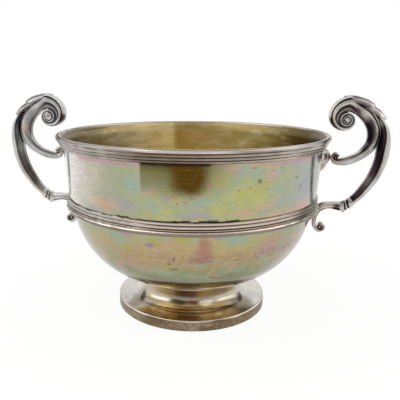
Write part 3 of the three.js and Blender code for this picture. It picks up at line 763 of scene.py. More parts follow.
# %% Wear of the gilding
inner_label = add(tree, "ShaderNodeCombineXYZ", {0: mm_back, 1: mm_up})
at_sides = either(tree, where(tree, (mm_back, 15, 60)), where(tree, (mm_back, -55, -85)))
SMEARS = [(41, 127, 8, 14), (58, 138, 12, 4), (92, 133, 13, 6), (-100, 138, 26, 5), (16, 126, 12, 7)]
smears = ovals(tree, inner_label, SMEARS, 0.1)
cloudy = stirred(tree, smear, (grain, 0.4))
colour = glaze(tree, colour, ("645838", (mm_up, 137.5, 141.5), 0.45),
               ("645838", (mm_up, 136, 140.5), at_sides, 0.55),
               ("3a3216", (mm_up, 135, 139), (mm_back, 95, 125), (mm_back, 250, 200), 0.7),
               ("cbb67c", (mm_up, 72, 34), 0.92),
               ("d8cda8", smears, (smear, 0.35, 0.6), 0.45),
               ("453b2c", (mm_up, 143.0, 144.3, 0.3), (mm_back, -215, -105, 18), 0.8),
               ("8f7740", (cloudy, 0.6, 0.35), 0.25), ("e6dcc4", (cloudy, 0.45, 0.75), 0.18))
metal(tree, colour, smear, 0.3, 0.42, smear, 0.03)

# %% [markdown]
# The mouldings are silver wire, drawn through a shaped hole and bent round. Their crests are
# rubbed bright and their roots keep brown grime and black polish. To the eye they are thin
# bright lines between broken dark ones, and the brightest lines on the bead and the wire are
# painted highlights. Grime could be told from the mesh's hollows, but the heights of the roots are
# known, so each glaze has its height.

# %% Silver of the mouldings
LIP_TOP_FADE = (144.7, 145.8)

moulding_silver, tree = new_finish("drawn_silver_wire")
place, label, mm_round, mm_up, _ = unroll(tree)
soft = clouds(tree, place, 22, (1, 1, 2), 4.0, 0.6)
fine = clouds(tree, place, 2.4, (1, 1, 3), 3.0, 0.6)
broken = clouds(tree, place, 7.7, (1, 1, 7), 4.0, 0.65)
on_top = where(tree, (mm_up, *LIP_TOP_FADE))
unevenness = stirred(tree, soft, (broken, 0.7), (fine, 0.3))
colour = with_stops(add(tree, "ShaderNodeValToRGB", {"Fac": unevenness}), [
    (0.25, "857b72"), (0.42, "a59c94"), (0.58, "c0bab4"), (0.75, "bba997")])
colour = glaze(tree, colour, ("94816f", oval(tree, label, (8, 120, 0), (90, 90, 1), 0.25), 0.6),
               ("8b8f84", (mm_up, 139.6, 141.3, 0.3), (mm_round, -70, 60, 12), 0.6),
               ("a9a39d", on_top, 0.85),
               ("b9b5b1", on_top, oval(tree, label, (14, 145, 0), (56, 56, 1), 0.6), 0.9),
               ("8f8a85", on_top, (mm_round, 84, 140, 10), 0.8),
               # A near-white band on the front of the bead is a painted highlight.
               ("fff8f4", (mm_up, 144.6, 145.9, 0.3), (mm_round, -22, 34, 8), 0.9),
               ("8a7850", (mm_up, 145.9, 146.4), (mm_round, -24, 62, 10), 0.85),
               ("7d766f", on_top, (mm_round, -112, -26, 12), 0.75),
               ("67513f", (mm_up, 136, 137), (mm_up, 145.6, 144.2),
                oval(tree, label, (-8, 141, 0), (46, 46, 1), 0.3), (broken, 0.3, 0.55), 0.6),
               ("e6d8c8", (mm_up, 101, 99), (mm_round, -34, 62, 16), 0.6))
# At both ends the lip's inside edge is as brown as the gilding below it.
flat = add(tree, "ShaderNodeVectorMath", {0: place, 1: (1 / MM, 1 / MM, 0)}, operation="MULTIPLY")
radius = add(tree, "ShaderNodeVectorMath", {0: flat}, operation="LENGTH").outputs["Value"]
inside_edge = where(tree, (radius, 108.4, 107.4))
colour = glaze(tree, colour, ("54491f", inside_edge, (mm_round, 92, 200, 14), 0.85),
               ("4f4335", inside_edge, (mm_round, -200, -120, 14), (broken, 0.35, 0.6), 0.85))
print("crests:", len(tree.nodes), "nodes")

# %% [markdown]
# Grime lies in every root between two ridges, and black polish is left on the upper edge of the
# girdle. A black line along the lip's lower edge in front is painted shade under the lip. The
# lower half of the girdle's wire is painted brown grey as shade, and a broken cream line on its
# top is a painted highlight. They are glazes too, laid last, as dirt lies on top.

# %% Grime on the mouldings
ROOTS = (144.0, 141.5, 139.3, 137.15, 98.85, 96.3, 93.75, 92.35, 88.95)

roots = either(tree, *(where(tree, (from_middle(tree, mm_up, root), 0.6, 0.2)) for root in ROOTS))
# The grime comes in patches of 14 mm, coarser than real ones, so that it doesn't read as noise.
patchy = stirred(tree, clouds(tree, place, 14, (1, 1, 0.4), 3.0, 0.6), (broken, 0.8))
grime = either(tree, where(tree, (patchy, 0.3, 0.6)), where(tree, (mm_round, -30, 70, 20), 0.8))
# A black line on the lip's lower edge in front: painted shade under the lip.
shade_under_lip = where(tree, (mm_up, 136.9, 138.0, 0.25), (mm_round, -22.7, 22, 4))
crust_girdle = where(tree, (mm_up, 98.3, 99.6, 0.25),
                     (clouds(tree, place, 11, (1, 1, 1), 2.0, 0.5), 0.44, 0.5), (mm_round, -115, 44, 10))
colour = glaze(tree, colour, ("463b33", roots, grime, 0.9), ("69402c", roots, (mm_round, -22, 80, 14), 0.75),
               # The wire's lower half is painted brown grey as shade, and its top gets a painted highlight.
               ("716656", (mm_up, 91.5, 90.7), (mm_up, 80.0, 88.0), 0.8),
               ("eadfce", (mm_up, 91.3, 92.0, 0.15), (broken, 0.4, 0.6), 0.7),
               # Black crust on the girdle's upper edge, and the painted shade under the lip.
               ("1d1a1c", either(tree, shade_under_lip, crust_girdle), 0.92))
metal(tree, colour, fine, 0.12, 0.26, broken, 0.06)

# %% [markdown]
# The foot was spun on a lathe from thinner sheet. Its sides are clean silver. Its front looks
# into the belly's underside, and the brown and gold there are a painted reflection of it and of
# dark things in front, with painted highlights. To the eye it has a bright ring round the neck, a
# brown dome in front and grey silver at both sides. The brown could come from the room, but it
# would slide with the view, so it is painted on.

# %% Silver of the foot
foot_silver, tree = new_finish("spun_silver_sheet")
place, label, mm_round, mm_up, _ = unroll(tree, 5.0)
in_mm = add(tree, "ShaderNodeVectorMath", {0: place, "Scale": 1 / MM}, operation="SCALE")
soft = clouds(tree, place, 29, (1, 1, 2), 4.0, 0.6)
fine = clouds(tree, place, 3.3, (1, 1, 2), 4.0, 0.6)
rings = clouds(tree, place, 40, (1, 1, 50), 3.0, 0.6)
clean = with_stops(add(tree, "ShaderNodeValToRGB", {"Fac": soft}), [
    (0.3, "b4ada3"), (0.45, "c5c0b8"), (0.6, "d4d0ca"), (0.75, "c4baae")])
# Round the front the colours follow the place from left to right, as a share from 0 to 1.
left_to_right = add(tree, "ShaderNodeMapRange", {"Value": stirred(tree, mm_round, (soft, 16.0)),
                                                 "From Min": -120.0, "From Max": 120.0})
on_dome = stirred(tree, left_to_right, (fine, 0.03))
# The dome's scale is a painted reflection of the belly's underside, with painted highlights in its palest
# stops.
dome = with_stops(add(tree, "ShaderNodeValToRGB", {"Fac": on_dome}), [
    (0.0, "b8b1a6"), (0.1, "8c7e68"), (0.16, "91794f"), (0.225, "9a8156"), (0.29, "f4d99c"),
    (0.36, "ffedb8"), (0.41, "f4d695"), (0.44, "eccb8c"), (0.54, "f4d79a"), (0.58, "fff2cc"),
    (0.66, "ffeabc"), (0.74, "dcc596"), (0.8, "bfa676"), (0.85, "957d57"), (0.93, "a3947a"), (1.0, "c8c2b6")])
neck = with_stops(add(tree, "ShaderNodeValToRGB", {"Fac": left_to_right}), [
    (0.0, "c9c5be"), (0.16, "bcb09a"), (0.27, "a08960"), (0.39, "7a5e35"), (0.42, "553a1c"),
    (0.46, "432a10"), (0.57, "452c12"), (0.62, "7a5a2f"), (0.66, "86663c"), (0.76, "78603e"),
    (0.86, "7d6a4c"), (0.95, "968a76"), (1.0, "b5b2ac")])
print("clean silver, dome and neck:", len(tree.nodes), "nodes")

# %% [markdown]
# The dome's painted reflection ends in a round front edge, the neck stands in its own shade, and
# two dark crescents lie beside it. All three have a measured place, so they are ovals and bands
# again.

# %% Painted reflection and tarnish of the foot
front = where(tree, (mm_round, -118, 122, 8))
crescents = either(tree, oval(tree, in_mm, (-37.4, -29.5, 12), (3.1, 10, 9)),
                   oval(tree, in_mm, (43.0, -21, 12), (3.1, 10, 9)))
specks = clouds(tree, place, 1.4, (1, 1, 1), 2.0, 0.5)
colour = glaze(tree, clean,
               (dome, oval(tree, in_mm, (30, -95, 10), (119, 61, 60), 0.94), (mm_up, 14.6, 12.6), 0.95),
               ("7d603a", (mm_up, 10.8, 9.6), (mm_round, -62, 26, 8), 0.85),
               ("8f7a5c", (mm_up, 10.8, 9.6), (mm_round, 58, 100, 8), 0.5),
               ("6a5230", (mm_up, 10.2, 9.0), (mm_round, -60, 104, 12), 0.55),
               (neck, front, (mm_up, 17.0, 19.5), 0.98),
               ("b9a888", front, (mm_up, 13.5, 19, 1.2), 0.45),
               ("74603c", front, (mm_up, 12.0, 16.5, 0.8), (mm_round, -22, 32, 7), 0.8),
               ("a39272", front, (mm_up, 12.0, 14.6, 0.7), 0.5),
               # The olive and red ovals are painted reflections, and the pale one is a painted highlight.
               ("4a4a22", ovals(tree, label, [(-15, 14.8, 23, 2.5)], 0.45), 0.9),
               ("8a4426", ovals(tree, label, [(14, 15.0, 13, 2.0)], 0.3), 0.8),
               ("fff3dc", ovals(tree, label, [(38, 15.2, 18, 2.8)], 0.45), 0.95),
               ("3c3226", crescents, 0.85),
               ("2f2418", (mm_round, -16, 24, 5), (mm_up, 22.2, 23.0, 0.2), 0.7),
               ("d6c6ae", (mm_up, 24.0, 24.6), 0.7), ("8d7a60", (rings, 0.52, 0.66), front, 0.3),
               ("5b4a38", (specks, 0.68, 0.74), 0.6))
metal(tree, colour, fine, 0.12, 0.24, rings, 0.02)

# %% [markdown]
# The strip round the foot's edge is worn by every table it stood on. To the eye it is a matt,
# brown grey band with a thin bright line along its upper edge, a painted highlight. The foot's
# finish could serve with one more band, but the strip is rougher too, so it has its own.

# %% Silver of the foot's edge
worn_strip_silver, tree = new_finish("worn_silver_strip")
place, _, _, mm_up, mm_across = unroll(tree)
soft = clouds(tree, place, 17, (1, 1, 2), 5.0, 0.6)
fine = clouds(tree, place, 1.7, (1, 1, 1), 4.0, 0.7)
wear = stirred(tree, soft, (fine, 0.8))
colour = with_stops(add(tree, "ShaderNodeValToRGB", {"Fac": wear}), [
    (0.2, "5c4b38"), (0.42, "74624b"), (0.58, "89785f"), (0.8, "b3a690")])
colour = glaze(tree, colour, ("958c80", (mm_across, -28, -56), 0.6),
               # The bright line along the upper edge is a painted highlight.
               ("e9e2d4", (stirred(tree, mm_up, (soft, 2.6)), 7.6, 8.1), 0.85))
metal(tree, colour, fine, 0.28, 0.5, fine, 0.06)

# %% [markdown]
# The handles and their plates are cast silver. Their hollows keep black sulphide and their
# ridges are rubbed, which brings the casting's lines out. Shading could find the hollows by
# itself, but slowly, so each handle piece carries a number for how hollow it is at every point.
# To the eye they are cooler and greyer than the bowl, and nearly black inside the arms.

# %% Soot, painted shade and rubbing on the castings
# A row is x, z and two half sizes in mm, then how dark, or how rubbed, the place is.
# The dark places are sulphide, and in the gap between the C and the outer arm also painted shade.
SOOT_AND_SHADE = [(139.5, 149, 6.5, 17, 1.0), (145.5, 143, 6, 13, 1.05), (136.5, 137, 6, 7, 0.6), (132, 168, 9, 6, 0.45),
        (148, 132, 6, 22, 0.3), (128, 96, 6, 7, 0.4), (115, 128.4, 4.6, 4.6, 0.7), (118.5, 87, 4, 5, 1.0),
        (-148, 164, 4, 4, 0.2), (107, 155, 3.5, 7, 0.6), (-108.5, 154, 3.5, 7, 0.6), (-146.5, 151, 4, 12, 0.35),
        (-129, 172, 15, 6, 0.28), (-140, 165, 10, 9, 0.45)]
RUBBED = [(-127, 157, 4, 8, 0.7), (147.5, 158, 4.5, 7, 0.5), (-129, 98, 9, 16, 0.4), (-103, 75, 6, 8, 0.6),
          (98, 72, 6, 8, 0.3), (-117, 90, 8, 5, 0.3), (-147, 133, 5, 12, 0.25), (103.5, 127, 5, 8, 0.8),
          (150, 165, 6, 5, 0.35), (142, 173, 5, 4, 0.2), (141, 108, 8, 12, 0.25), (124, 126, 6, 4, 0.2),
          (111.5, 89, 5, 4, 0.25)]
THROUGH = 30

oxidised_silver, tree = new_finish("oxidised_cast_silver")
place = add(tree, "ShaderNodeTexCoord").outputs["Object"]
in_mm = add(tree, "ShaderNodeVectorMath", {0: place, "Scale": 1 / MM}, operation="SCALE")
across, _, up = add(tree, "ShaderNodeSeparateXYZ", {0: in_mm}).outputs
from_axis = from_middle(tree, across, 0.0)
hollow = add(tree, "ShaderNodeAttribute", attribute_name="hollow").outputs["Fac"]
soft = clouds(tree, place, 11)
# Patches of 22 mm are coarser than real ones. They give each handle light and dark lengths.
patches = clouds(tree, place, 22, (1, 1, 1), 3.0, 0.55, 0.3)
fine = clouds(tree, place, 2.0, (1, 1, 1), 4.0, 0.65)
dark, bright = ([where(tree, oval(tree, in_mm, (x, 0, z), (wide, THROUGH, tall), 0.2), share)
                 for x, z, wide, tall, share in rows] for rows in (SOOT_AND_SHADE, RUBBED))
print("dark places:", len(dark), "and rubbed places:", len(bright))

# %% [markdown]
# All of it adds up to one number for the tarnish, and scales of colour turn that into metal. One
# scale would do for clean castings. Here the right handle is warmer than the left, and both are
# brown near the wall, so there are three scales and masks between them.

# %% Colours of the castings
tarnish = stirred(tree, where(tree, hollow, 0.78), (soft, 0.36), (patches, 0.32), (fine, 0.3))
# Soot and painted shade at the dark places darken the tarnish further.
soot_and_shade = where(tree, either(tree, *dark), stirred(tree, hollow, (patches, 0.3)), 0.8)
tarnish = add(tree, "ShaderNodeMath", {0: tarnish, 1: soot_and_shade}, operation="ADD")
tarnish = add(tree, "ShaderNodeMath", {0: either(tree, *dark), 1: 0.45, 2: tarnish}, operation="MULTIPLY_ADD")
outer_side = where(tree, (from_axis, 148, 152), 0.15)
tarnish = add(tree, "ShaderNodeMath", {0: tarnish, 1: either(tree, outer_side, *bright)},
              operation="SUBTRACT")
right, left, brown = (with_stops(add(tree, "ShaderNodeValToRGB", {"Fac": tarnish}), stops) for stops in (
    [(0.0, "c9c5c1"), (0.16, "a8a29d"), (0.34, "807872"), (0.5, "5d5054"), (0.72, "3e2e34"), (1.0, "1b1417")],
    [(0.0, "cbcac9"), (0.18, "a3a2a1"), (0.38, "87847f"), (0.56, "6a6766"), (0.76, "454a50"), (1.0, "262d34")],
    [(0.0, "c9bcae"), (0.3, "a89887"), (0.6, "6a564a"), (1.0, "2b1d17")]))
lower_left = either(tree, where(tree, (across, -117, -124), (up, 128, 108), 0.4),
                    where(tree, oval(tree, in_mm, (-143, 0, 147), (6, THROUGH, 10), 0.2), 0.7))
colour = glaze(tree, left, (right, (across, -50, 50)),
               (brown, (from_axis, 120, 114), (up, 141, 137), (across, -300, 100), 0.6),
               (brown, lower_left))
metal(tree, colour, fine, 0.16, 0.32, fine, 0.035)

# %% [markdown]
# Now the bowl itself: outside and inside outline make one closed sheet, turned on the lathe. The
# inside could be a mesh of its own, but the real bowl is one sheet, so its inner faces just take
# the gilding as a second finish.

# %% Bowl
OUTWARD_DROP = 0.08
GILDED_FROM = 0.02

bowl_mesh = turn("raised_bowl", bowl_outline(0) + bowl_outline(-SHEET)[::-1], tarnished_silver)
show("raised_bowl", bowl_mesh, "bowl_shell")
bowl_mesh.materials.append(gilding)
inward = 0
for face in bowl_mesh.polygons:
    middle = face.center
    outwards = Vector((middle.x, middle.y, -OUTWARD_DROP))
    if face.normal.dot(outwards) < 0 and middle.z > GILDED_FROM:
        face.material_index = 1
        inward += 1
print("gilded faces:", inward)

# %% [markdown]
# The lip is a drawn silver moulding, soldered over the sheet's edge: a rounded bead above
# three fine reeds. The girdle is its smaller brother, two reeds above a half-round wire. Each reed
# could be a ring of its own, but a drawn moulding is one wire. So a rule with a count and a pitch
# gives one outline, which is then turned.

# %% Reeds
REED_POINTS = 9
REED_ROUNDNESS = 0.93


def reeds(top, crest, count, pitch, depth, step_in):
    """A stack of half-round reeds, from the top one down, with sharp roots between them."""
    points = []
    for i in range(count):
        middle = top - (i + 0.5) * pitch
        for turn_share in np.linspace(-1, 1, REED_POINTS):
            swell = math.sqrt(max(0.0, 1 - (turn_share * REED_ROUNDNESS) ** 2))
            points.append((crest - i * step_in - depth * (1 - swell) - step_in * (turn_share + 1) / 4,
                           middle - turn_share * pitch * 0.47))
        points.append((crest - i * step_in - depth * 1.35 - step_in / 2, middle - pitch / 2))
    return points


print("points in a stack of three reeds:", len(reeds(0, 0, 3, 1, 1, 0)))

# %% [markdown]
# Each moulding is one closed outline round its own middle, from its top over the outside and
# back along the wall. The small steps behind it stay hidden, but they close the piece, so that
# it is solid wire and not a skin.

# %% Lip moulding
BEAD_RADIUS = 1.8
REEDS_TOP = 143.7
RIM_REEDS = 3
RIM_REED_PITCH = 2.2
REED_STEP_IN = 1.25
REED_DEPTH = 0.7

bead_centre = (LIP_RADIUS - BEAD_RADIUS, LIP_TOP - BEAD_RADIUS)
inner_edge = BOWL_EDGE_RADIUS - SHEET
rim_outline = [(inner_edge - 0.05, LIP_TOP - SHEET - 0.6), (inner_edge, LIP_TOP - 1.2),
               (inner_edge + 0.25, LIP_TOP - 0.65), (inner_edge + 0.8, LIP_TOP - 0.25),
               (inner_edge + 1.7, LIP_TOP - 0.03)]
rim_outline += arc(bead_centre, BEAD_RADIUS, 88, -60, 14) + [(LIP_RADIUS - 1.75, REEDS_TOP + 0.25)]
rim_outline += reeds(REEDS_TOP, LIP_RADIUS - BEAD_RADIUS / 2, RIM_REEDS, RIM_REED_PITCH, REED_DEPTH,
                     REED_STEP_IN)
rim_outline += [(wall_radius(RIM_BOTTOM) - 0.1, RIM_BOTTOM - 0.05),
                (wall_radius(RIM_BOTTOM) - 0.3, RIM_BOTTOM + 1),
                (BOWL_EDGE_RADIUS - 0.6, LIP_TOP - SHEET - 0.8)]
show("lip_moulding", turn("lip_moulding", rim_outline, moulding_silver, ring=True), "rim_moulding")

# %% [markdown]
# The girdle has no bead. Its reeds don't step in, because the wall is upright there, and a fillet
# leads over to the wire. One outline does all three, so no seam shows between them.

# %% Girdle moulding
GIRDLE_REEDS = 2
GIRDLE_REED_PITCH = 2.5
GIRDLE_ROOT = wall_radius(GIRDLE_TOP) + 0.5
WIRE_RADIUS = 1.8

wire_centre = (GIRDLE_ROOT + 0.05, GIRDLE_BOTTOM + WIRE_RADIUS)
girdle_outline = [(wall_radius(GIRDLE_TOP) - 0.1, GIRDLE_TOP + 0.05), (GIRDLE_ROOT - 0.2, GIRDLE_TOP)]
girdle_outline += reeds(GIRDLE_TOP, GIRDLE_ROOT + REED_DEPTH, GIRDLE_REEDS, GIRDLE_REED_PITCH,
                        REED_DEPTH, 0)
girdle_outline += arc((GIRDLE_ROOT + 0.35, WIRE_TOP - 0.65), 0.6, 80, -70, 6)
girdle_outline += arc(wire_centre, WIRE_RADIUS, 66, -90, 16)
girdle_outline += [(belly_radius(GIRDLE_BOTTOM) - 0.2, GIRDLE_BOTTOM),
                   (belly_radius(WIRE_HEIGHT) - 0.3, WIRE_HEIGHT), (wall_radius(WIRE_TOP) - 0.3, WIRE_TOP)]
girdle_mesh = turn("girdle_moulding_wire", girdle_outline, moulding_silver, ring=True)
show("girdle_moulding_wire", girdle_mesh, "girdle_moulding")

# %% [markdown]
# The foot was spun from thinner sheet: a short neck, a flare and a low dome. A thin wire hides
# its joint with the bowl, and an upright strip finishes its edge. The flare is a curve through
# three points, because typed points would leave flats that polished silver shows.

# %% Foot
NECK_RADIUS = 42
NECK_HEIGHT = 2.6
FLARE_END = 51
DOME_RISE = 0.9
FOOT_RADIUS = 63.1
FOOT_EDGE_HEIGHT = 8.2
FOOT_SHEET = 1.3

neck_top = belly_height(NECK_RADIUS - FOOT_SHEET) + 0.1
neck_foot = neck_top - NECK_HEIGHT


def spun_foot(depth):
    """The foot's outline, a depth in mm under its outside."""
    radius = NECK_RADIUS - depth
    points = [(radius, neck_top), (radius - 0.1, (neck_top + neck_foot) / 2)]
    start, corner, end = (np.array(p) for p in ((radius, neck_foot), (radius - 0.1, 12.1 - depth),
                                                (FLARE_END, 10.9 - depth)))
    for s in np.linspace(0, 1, 20):
        points.append(tuple((1 - s) ** 2 * start + 2 * s * (1 - s) * corner + s ** 2 * end))
    edge_radius, edge_height = FOOT_RADIUS - 1.3, FOOT_EDGE_HEIGHT + 0.35 - depth
    for s in np.linspace(0.1, 1, 10):
        points.append((FLARE_END + (edge_radius - FLARE_END) * s,
                       11 - depth + (edge_height - 11 + depth) * s + DOME_RISE * s * (1 - s)))
    return points


foot_mesh = turn("spun_foot", spun_foot(0) + spun_foot(FOOT_SHEET)[::-1], foot_silver, ring=True)
show("spun_foot", foot_mesh, "foot_shell")

# %% [markdown]
# The collar is a round wire bent into a ring, and the strip is flat wire with a rounded upper
# edge. A torus would do for the collar, but turned outlines keep both on the lathe.

# %% Collar and edge strip
COLLAR_WIRE = 0.9

collar_centre = (NECK_RADIUS + COLLAR_WIRE * 0.9, belly_height(NECK_RADIUS) - COLLAR_WIRE)
collar_outline = arc(collar_centre, COLLAR_WIRE + 0.1, 0, 345, 23)
show("collar_wire", turn("collar_wire", collar_outline, moulding_silver, ring=True), "foot_collar")
# Each point is how far in from the foot's radius, and how high.
STRIP = [(1.6, 0), (0.25, 0), (0, 0.25), (0, 7.2), (0.05, 7.9), (0.3, 8.35), (0.75, 8.55), (1.15, 8.4),
         (1.35, 8.0), (1.6, 7.9)]
strip_outline = [(FOOT_RADIUS - inwards, height) for inwards, height in STRIP]
show("foot_edge_strip", turn("foot_edge_strip", strip_outline, worn_strip_silver, ring=True), "foot_rim")

# %% [markdown]
# The handles are cast. Each bar has its own section: rib, groove, fillet and hollow side. A
# bevelled curve can't change its section on the way, so a bar is built by hand: a row of
# stations, each with a point on the outer edge, a point on the inner edge and a width, and a
# section drawn between them. All are smoothed by one rule: a curve through measured points.

# %% Smooth curves
EYE = np.array((121.0, 158.0))
CORNER = np.array((110.0, 146.8))


def curve_through(points, steps, before=None):
    """A smooth line through points of any number of values, with even steps between them."""
    points = np.array(points, float)
    first = points[0] * 2 - points[1] if before is None else np.array(before, float)
    ends = np.vstack([first, points, points[-1] * 2 - points[-2]])
    line = []
    for i in range(len(points) - 1):
        a, b, c, d = ends[i:i + 4]
        for s in np.arange(steps) / steps:
            line.append(0.5 * (2 * b + (c - a) * s + (2 * a - 5 * b + 4 * c - d) * s * s
                               + (3 * b - a - 3 * c + d) * s ** 3))
    return np.array(line + [points[-1]])


def dense(section):
    return curve_through(section, 3)


def from_corner(rows):
    """Moves rows of outer x, z and inner x, z out to the lip's corner. A width may follow them."""
    return [tuple(np.array(row[:4]) + np.tile(CORNER, 2)) + tuple(row[4:]) for row in rows]


print("a curve through 3 points in 8 steps has:", len(curve_through([(0,), (1,), (4,)], 8)), "points")

# %% [markdown]
# In a section the first number goes from the outer to the inner edge, and the second is the half
# width there. A third says how deep in a hollow each point lies, and the finish darkens it there,
# as sulphide does on the real cup.

# %% Bars
END_HOLLOW = 0.3


def bar(stations, sections):
    """Stations are rows of outer x, z, inner x, z and width in mm. Sections is one, or one per station."""
    stations = np.array(stations, float)
    if not isinstance(sections, list):
        sections = [sections] * len(stations)
    points, hollow = [], []
    for (ox, oz, ix, iz, width), half in zip(stations, sections):
        back = half[::-1][1:-1] * (1, -1, 1)
        for depth, side, dark in np.vstack([half, back]):
            points.append((ox + (ix - ox) * depth, side * width / 2, oz + (iz - oz) * depth))
            hollow.append(dark)
    count = len(points) // len(stations)
    faces = []
    for i in range(len(stations) - 1):
        for j in range(count):
            a, b = i * count + j, i * count + (j + 1) % count
            faces.append((a, b, b + count, a + count))
    # Each end is closed from its middle, so that no face is hollow in outline.
    for row, turned_round in ((0, True), (len(stations) - 1, False)):
        ring = list(range(row * count, (row + 1) * count))
        middle = len(points)
        points.append(tuple(np.mean([points[k] for k in ring], axis=0)))
        hollow.append(END_HOLLOW)
        for j in range(count):
            pair = (ring[j], ring[(j + 1) % count])
            faces.append((middle,) + (pair[::-1] if turned_round else pair))
    return points, faces, hollow


print("hollow number at a bar's ends:", END_HOLLOW)

# %% [markdown]
# A casting may be more than one shape, such as a scroll and the eye in its curl. They could be
# united with a Boolean modifier, but on fine sections it leaves slivers. Shapes that sink into
# each other look the same, and keep their faces whole.

# %% Shapes and their meshes
def join(*shapes):
    """Puts several shapes of points, faces and hollows into one."""
    points, faces, hollow = [], [], []
    for p, f, h in shapes:
        faces += [tuple(k + len(points) for k in face) for face in f]
        points += list(p)
        hollow += list(h)
    return points, faces, hollow


def plain_mesh(name, shape, finish, left=False):
    """Makes a mesh from a shape drawn for the right handle, or turned half round for the left."""
    points, faces, hollow = shape
    turn_sign = -1 if left else 1
    mesh = bpy.data.meshes.new(name)
    mesh.from_pydata([(x * MM * turn_sign, y * MM * turn_sign, z * MM) for x, y, z in points], [], faces)
    mesh.attributes.new("hollow", "FLOAT", "POINT").data.foreach_set("value", np.array(hollow, np.float32))
    mesh.materials.append(finish)
    return mesh


print("finish of the castings:", oxidised_silver.name)

# %% [markdown]
# The volute, the crown, the C and the inner arm are one casting. From the eye outwards the
# strap follows a spiral. A formula with a steady growth would miss it, because the real one opens
# faster outside. So its radius was measured at every quarter turn.

# %% Spiral of the volute
QUARTER_RADII = [18.2, 13.0, 8.1, 6.2, 5.7, 5.3, 4.9, 4.4, 3.9]
RADIUS_BEFORE = 26
SPIRAL_STEPS = 16
INNER_STRAP = 1.3
GROOVE = 0.6

spiral = curve_through([[r] for r in QUARTER_RADII], SPIRAL_STEPS, before=[RADIUS_BEFORE])[:, 0]


def spiral_radius(quarters):
    return float(np.interp(quarters * SPIRAL_STEPS, range(len(spiral)), spiral))


def spiral_edges(quarters):
    """The strap's outer and inner edge after some quarter turns. A groove parts it from the next turn."""
    last = len(QUARTER_RADII) - 1
    outer = spiral_radius(quarters)
    inner = outer - INNER_STRAP
    if quarters + 4 < last:
        inner = min(inner, spiral_radius(quarters + 4) + GROOVE)
    angle = math.pi / 2 * (1 + quarters)
    unit = np.array((math.cos(angle), math.sin(angle)))
    return list(EYE + unit * outer) + list(EYE + unit * inner)


print("radius after half a turn, mm:", round(spiral_radius(2), 1))

# %% [markdown]
# The section changes along the casting: a ribbon in the volute, rib, groove and cove on the
# crown, a wider cove on the C, and a rounder arm. Four drawn sections and a blend between them
# are enough.

# %% Sections of the casting
RIBBON = dense([(0, 0, 0), (0, 0.3, 0.2), (0, 0.6, 0.4), (0, 0.8, 0.8), (0.03, 0.9, 0.5), (0.12, 0.96, 0.1),
                (0.25, 0.99, 0), (0.4, 1.0, 0), (0.5, 1.0, 0), (0.6, 1.0, 0), (0.74, 0.99, 0.15),
                (0.88, 0.95, 0.5), (0.97, 0.88, 0.9), (1.0, 0.78, 1), (1.0, 0.6, 1), (1.0, 0.3, 1),
                (1.0, 0, 1)])
CROWN = dense([(0, 0, 0), (0, 0.3, 0), (0.02, 0.56, 0), (0.06, 0.8, 0), (0.11, 0.88, 0.2),
               (0.145, 0.84, 0.85), (0.17, 0.72, 1), (0.205, 0.76, 1), (0.24, 0.9, 0.35), (0.31, 1.0, 0),
               (0.44, 1.0, 0), (0.54, 0.92, 0.4), (0.6, 0.76, 1.0), (0.65, 0.72, 0.95),
               (0.78, 0.76, 0.45), (0.95, 0.62, 0.6), (1.0, 0, 0.5)])
C_SIDE = dense([(0, 0, 0), (0, 0.3, 0), (0.02, 0.56, 0), (0.06, 0.8, 0), (0.1, 0.86, 0.3), (0.13, 0.8, 0.95),
                (0.16, 0.8, 0.9), (0.2, 0.93, 0.25), (0.26, 1.0, 0), (0.34, 0.98, 0), (0.44, 0.88, 0.1),
                (0.56, 0.76, 0.22), (0.7, 0.67, 0.38), (0.82, 0.63, 0.6), (0.93, 0.6, 0.75), (0.99, 0.42, 0.7),
                (1.0, 0, 0.65)])
ARM = dense([(0, 0, 0), (0, 0.3, 0), (0.04, 0.55, 0), (0.12, 0.78, 0), (0.22, 0.9, 0.05), (0.32, 0.92, 0.25),
             (0.38, 0.92, 0.35), (0.45, 0.97, 0.05), (0.52, 1.0, 0), (0.6, 0.97, 0.05), (0.7, 0.88, 0.3),
             (0.77, 0.8, 0.7), (0.84, 0.78, 0.55), (0.91, 0.72, 0.1), (0.97, 0.55, 0), (1.0, 0.3, 0),
             (1.0, 0, 0)])


def blended(first, second, share):
    share = min(1.0, max(0.0, share))
    return first * (1 - share) + second * share


print("points in each half section:", len(RIBBON), len(CROWN), len(C_SIDE), len(ARM))

# %% [markdown]
# The rows below follow the C from the crown round to the curl at the wall: outer x and z, then
# inner x and z, in mm from the lip's corner. The spiral and the C could be two pieces, but the
# crown would then need a seam that the real one hasn't. So one bar runs from eye to wall.

# %% Volute and C scroll
C_ROWS = [(16.5, 26.8, 16.2, 15.9), (24.5, 21.3, 20.4, 13.0), (31.6, 14.8, 24.6, 8.5), (36.2, 6.5, 27.5, 2.8),
          (37.2, -3, 28.1, -3), (34.8, -11.2, 26.1, -8.6), (27, -18.8, 20.3, -14.8), (17, -24, 14.1, -17.5),
          (9, -25.1, 8.2, -19.2), (3.4, -23.6, 5.4, -19.9), (0.95, -18.7, 3.6, -18.8), (4.7, -14.3, 4.8, -17.1),
          (8.5, -16.9, 6.6, -18.3)]
EYE_WIDTH = 10.0
CROWN_WIDTH = 12.0
ARM_WIDTHS = (CROWN_WIDTH, CROWN_WIDTH, 7.4, 5.6, 5.4)
TURN_STEPS = 12

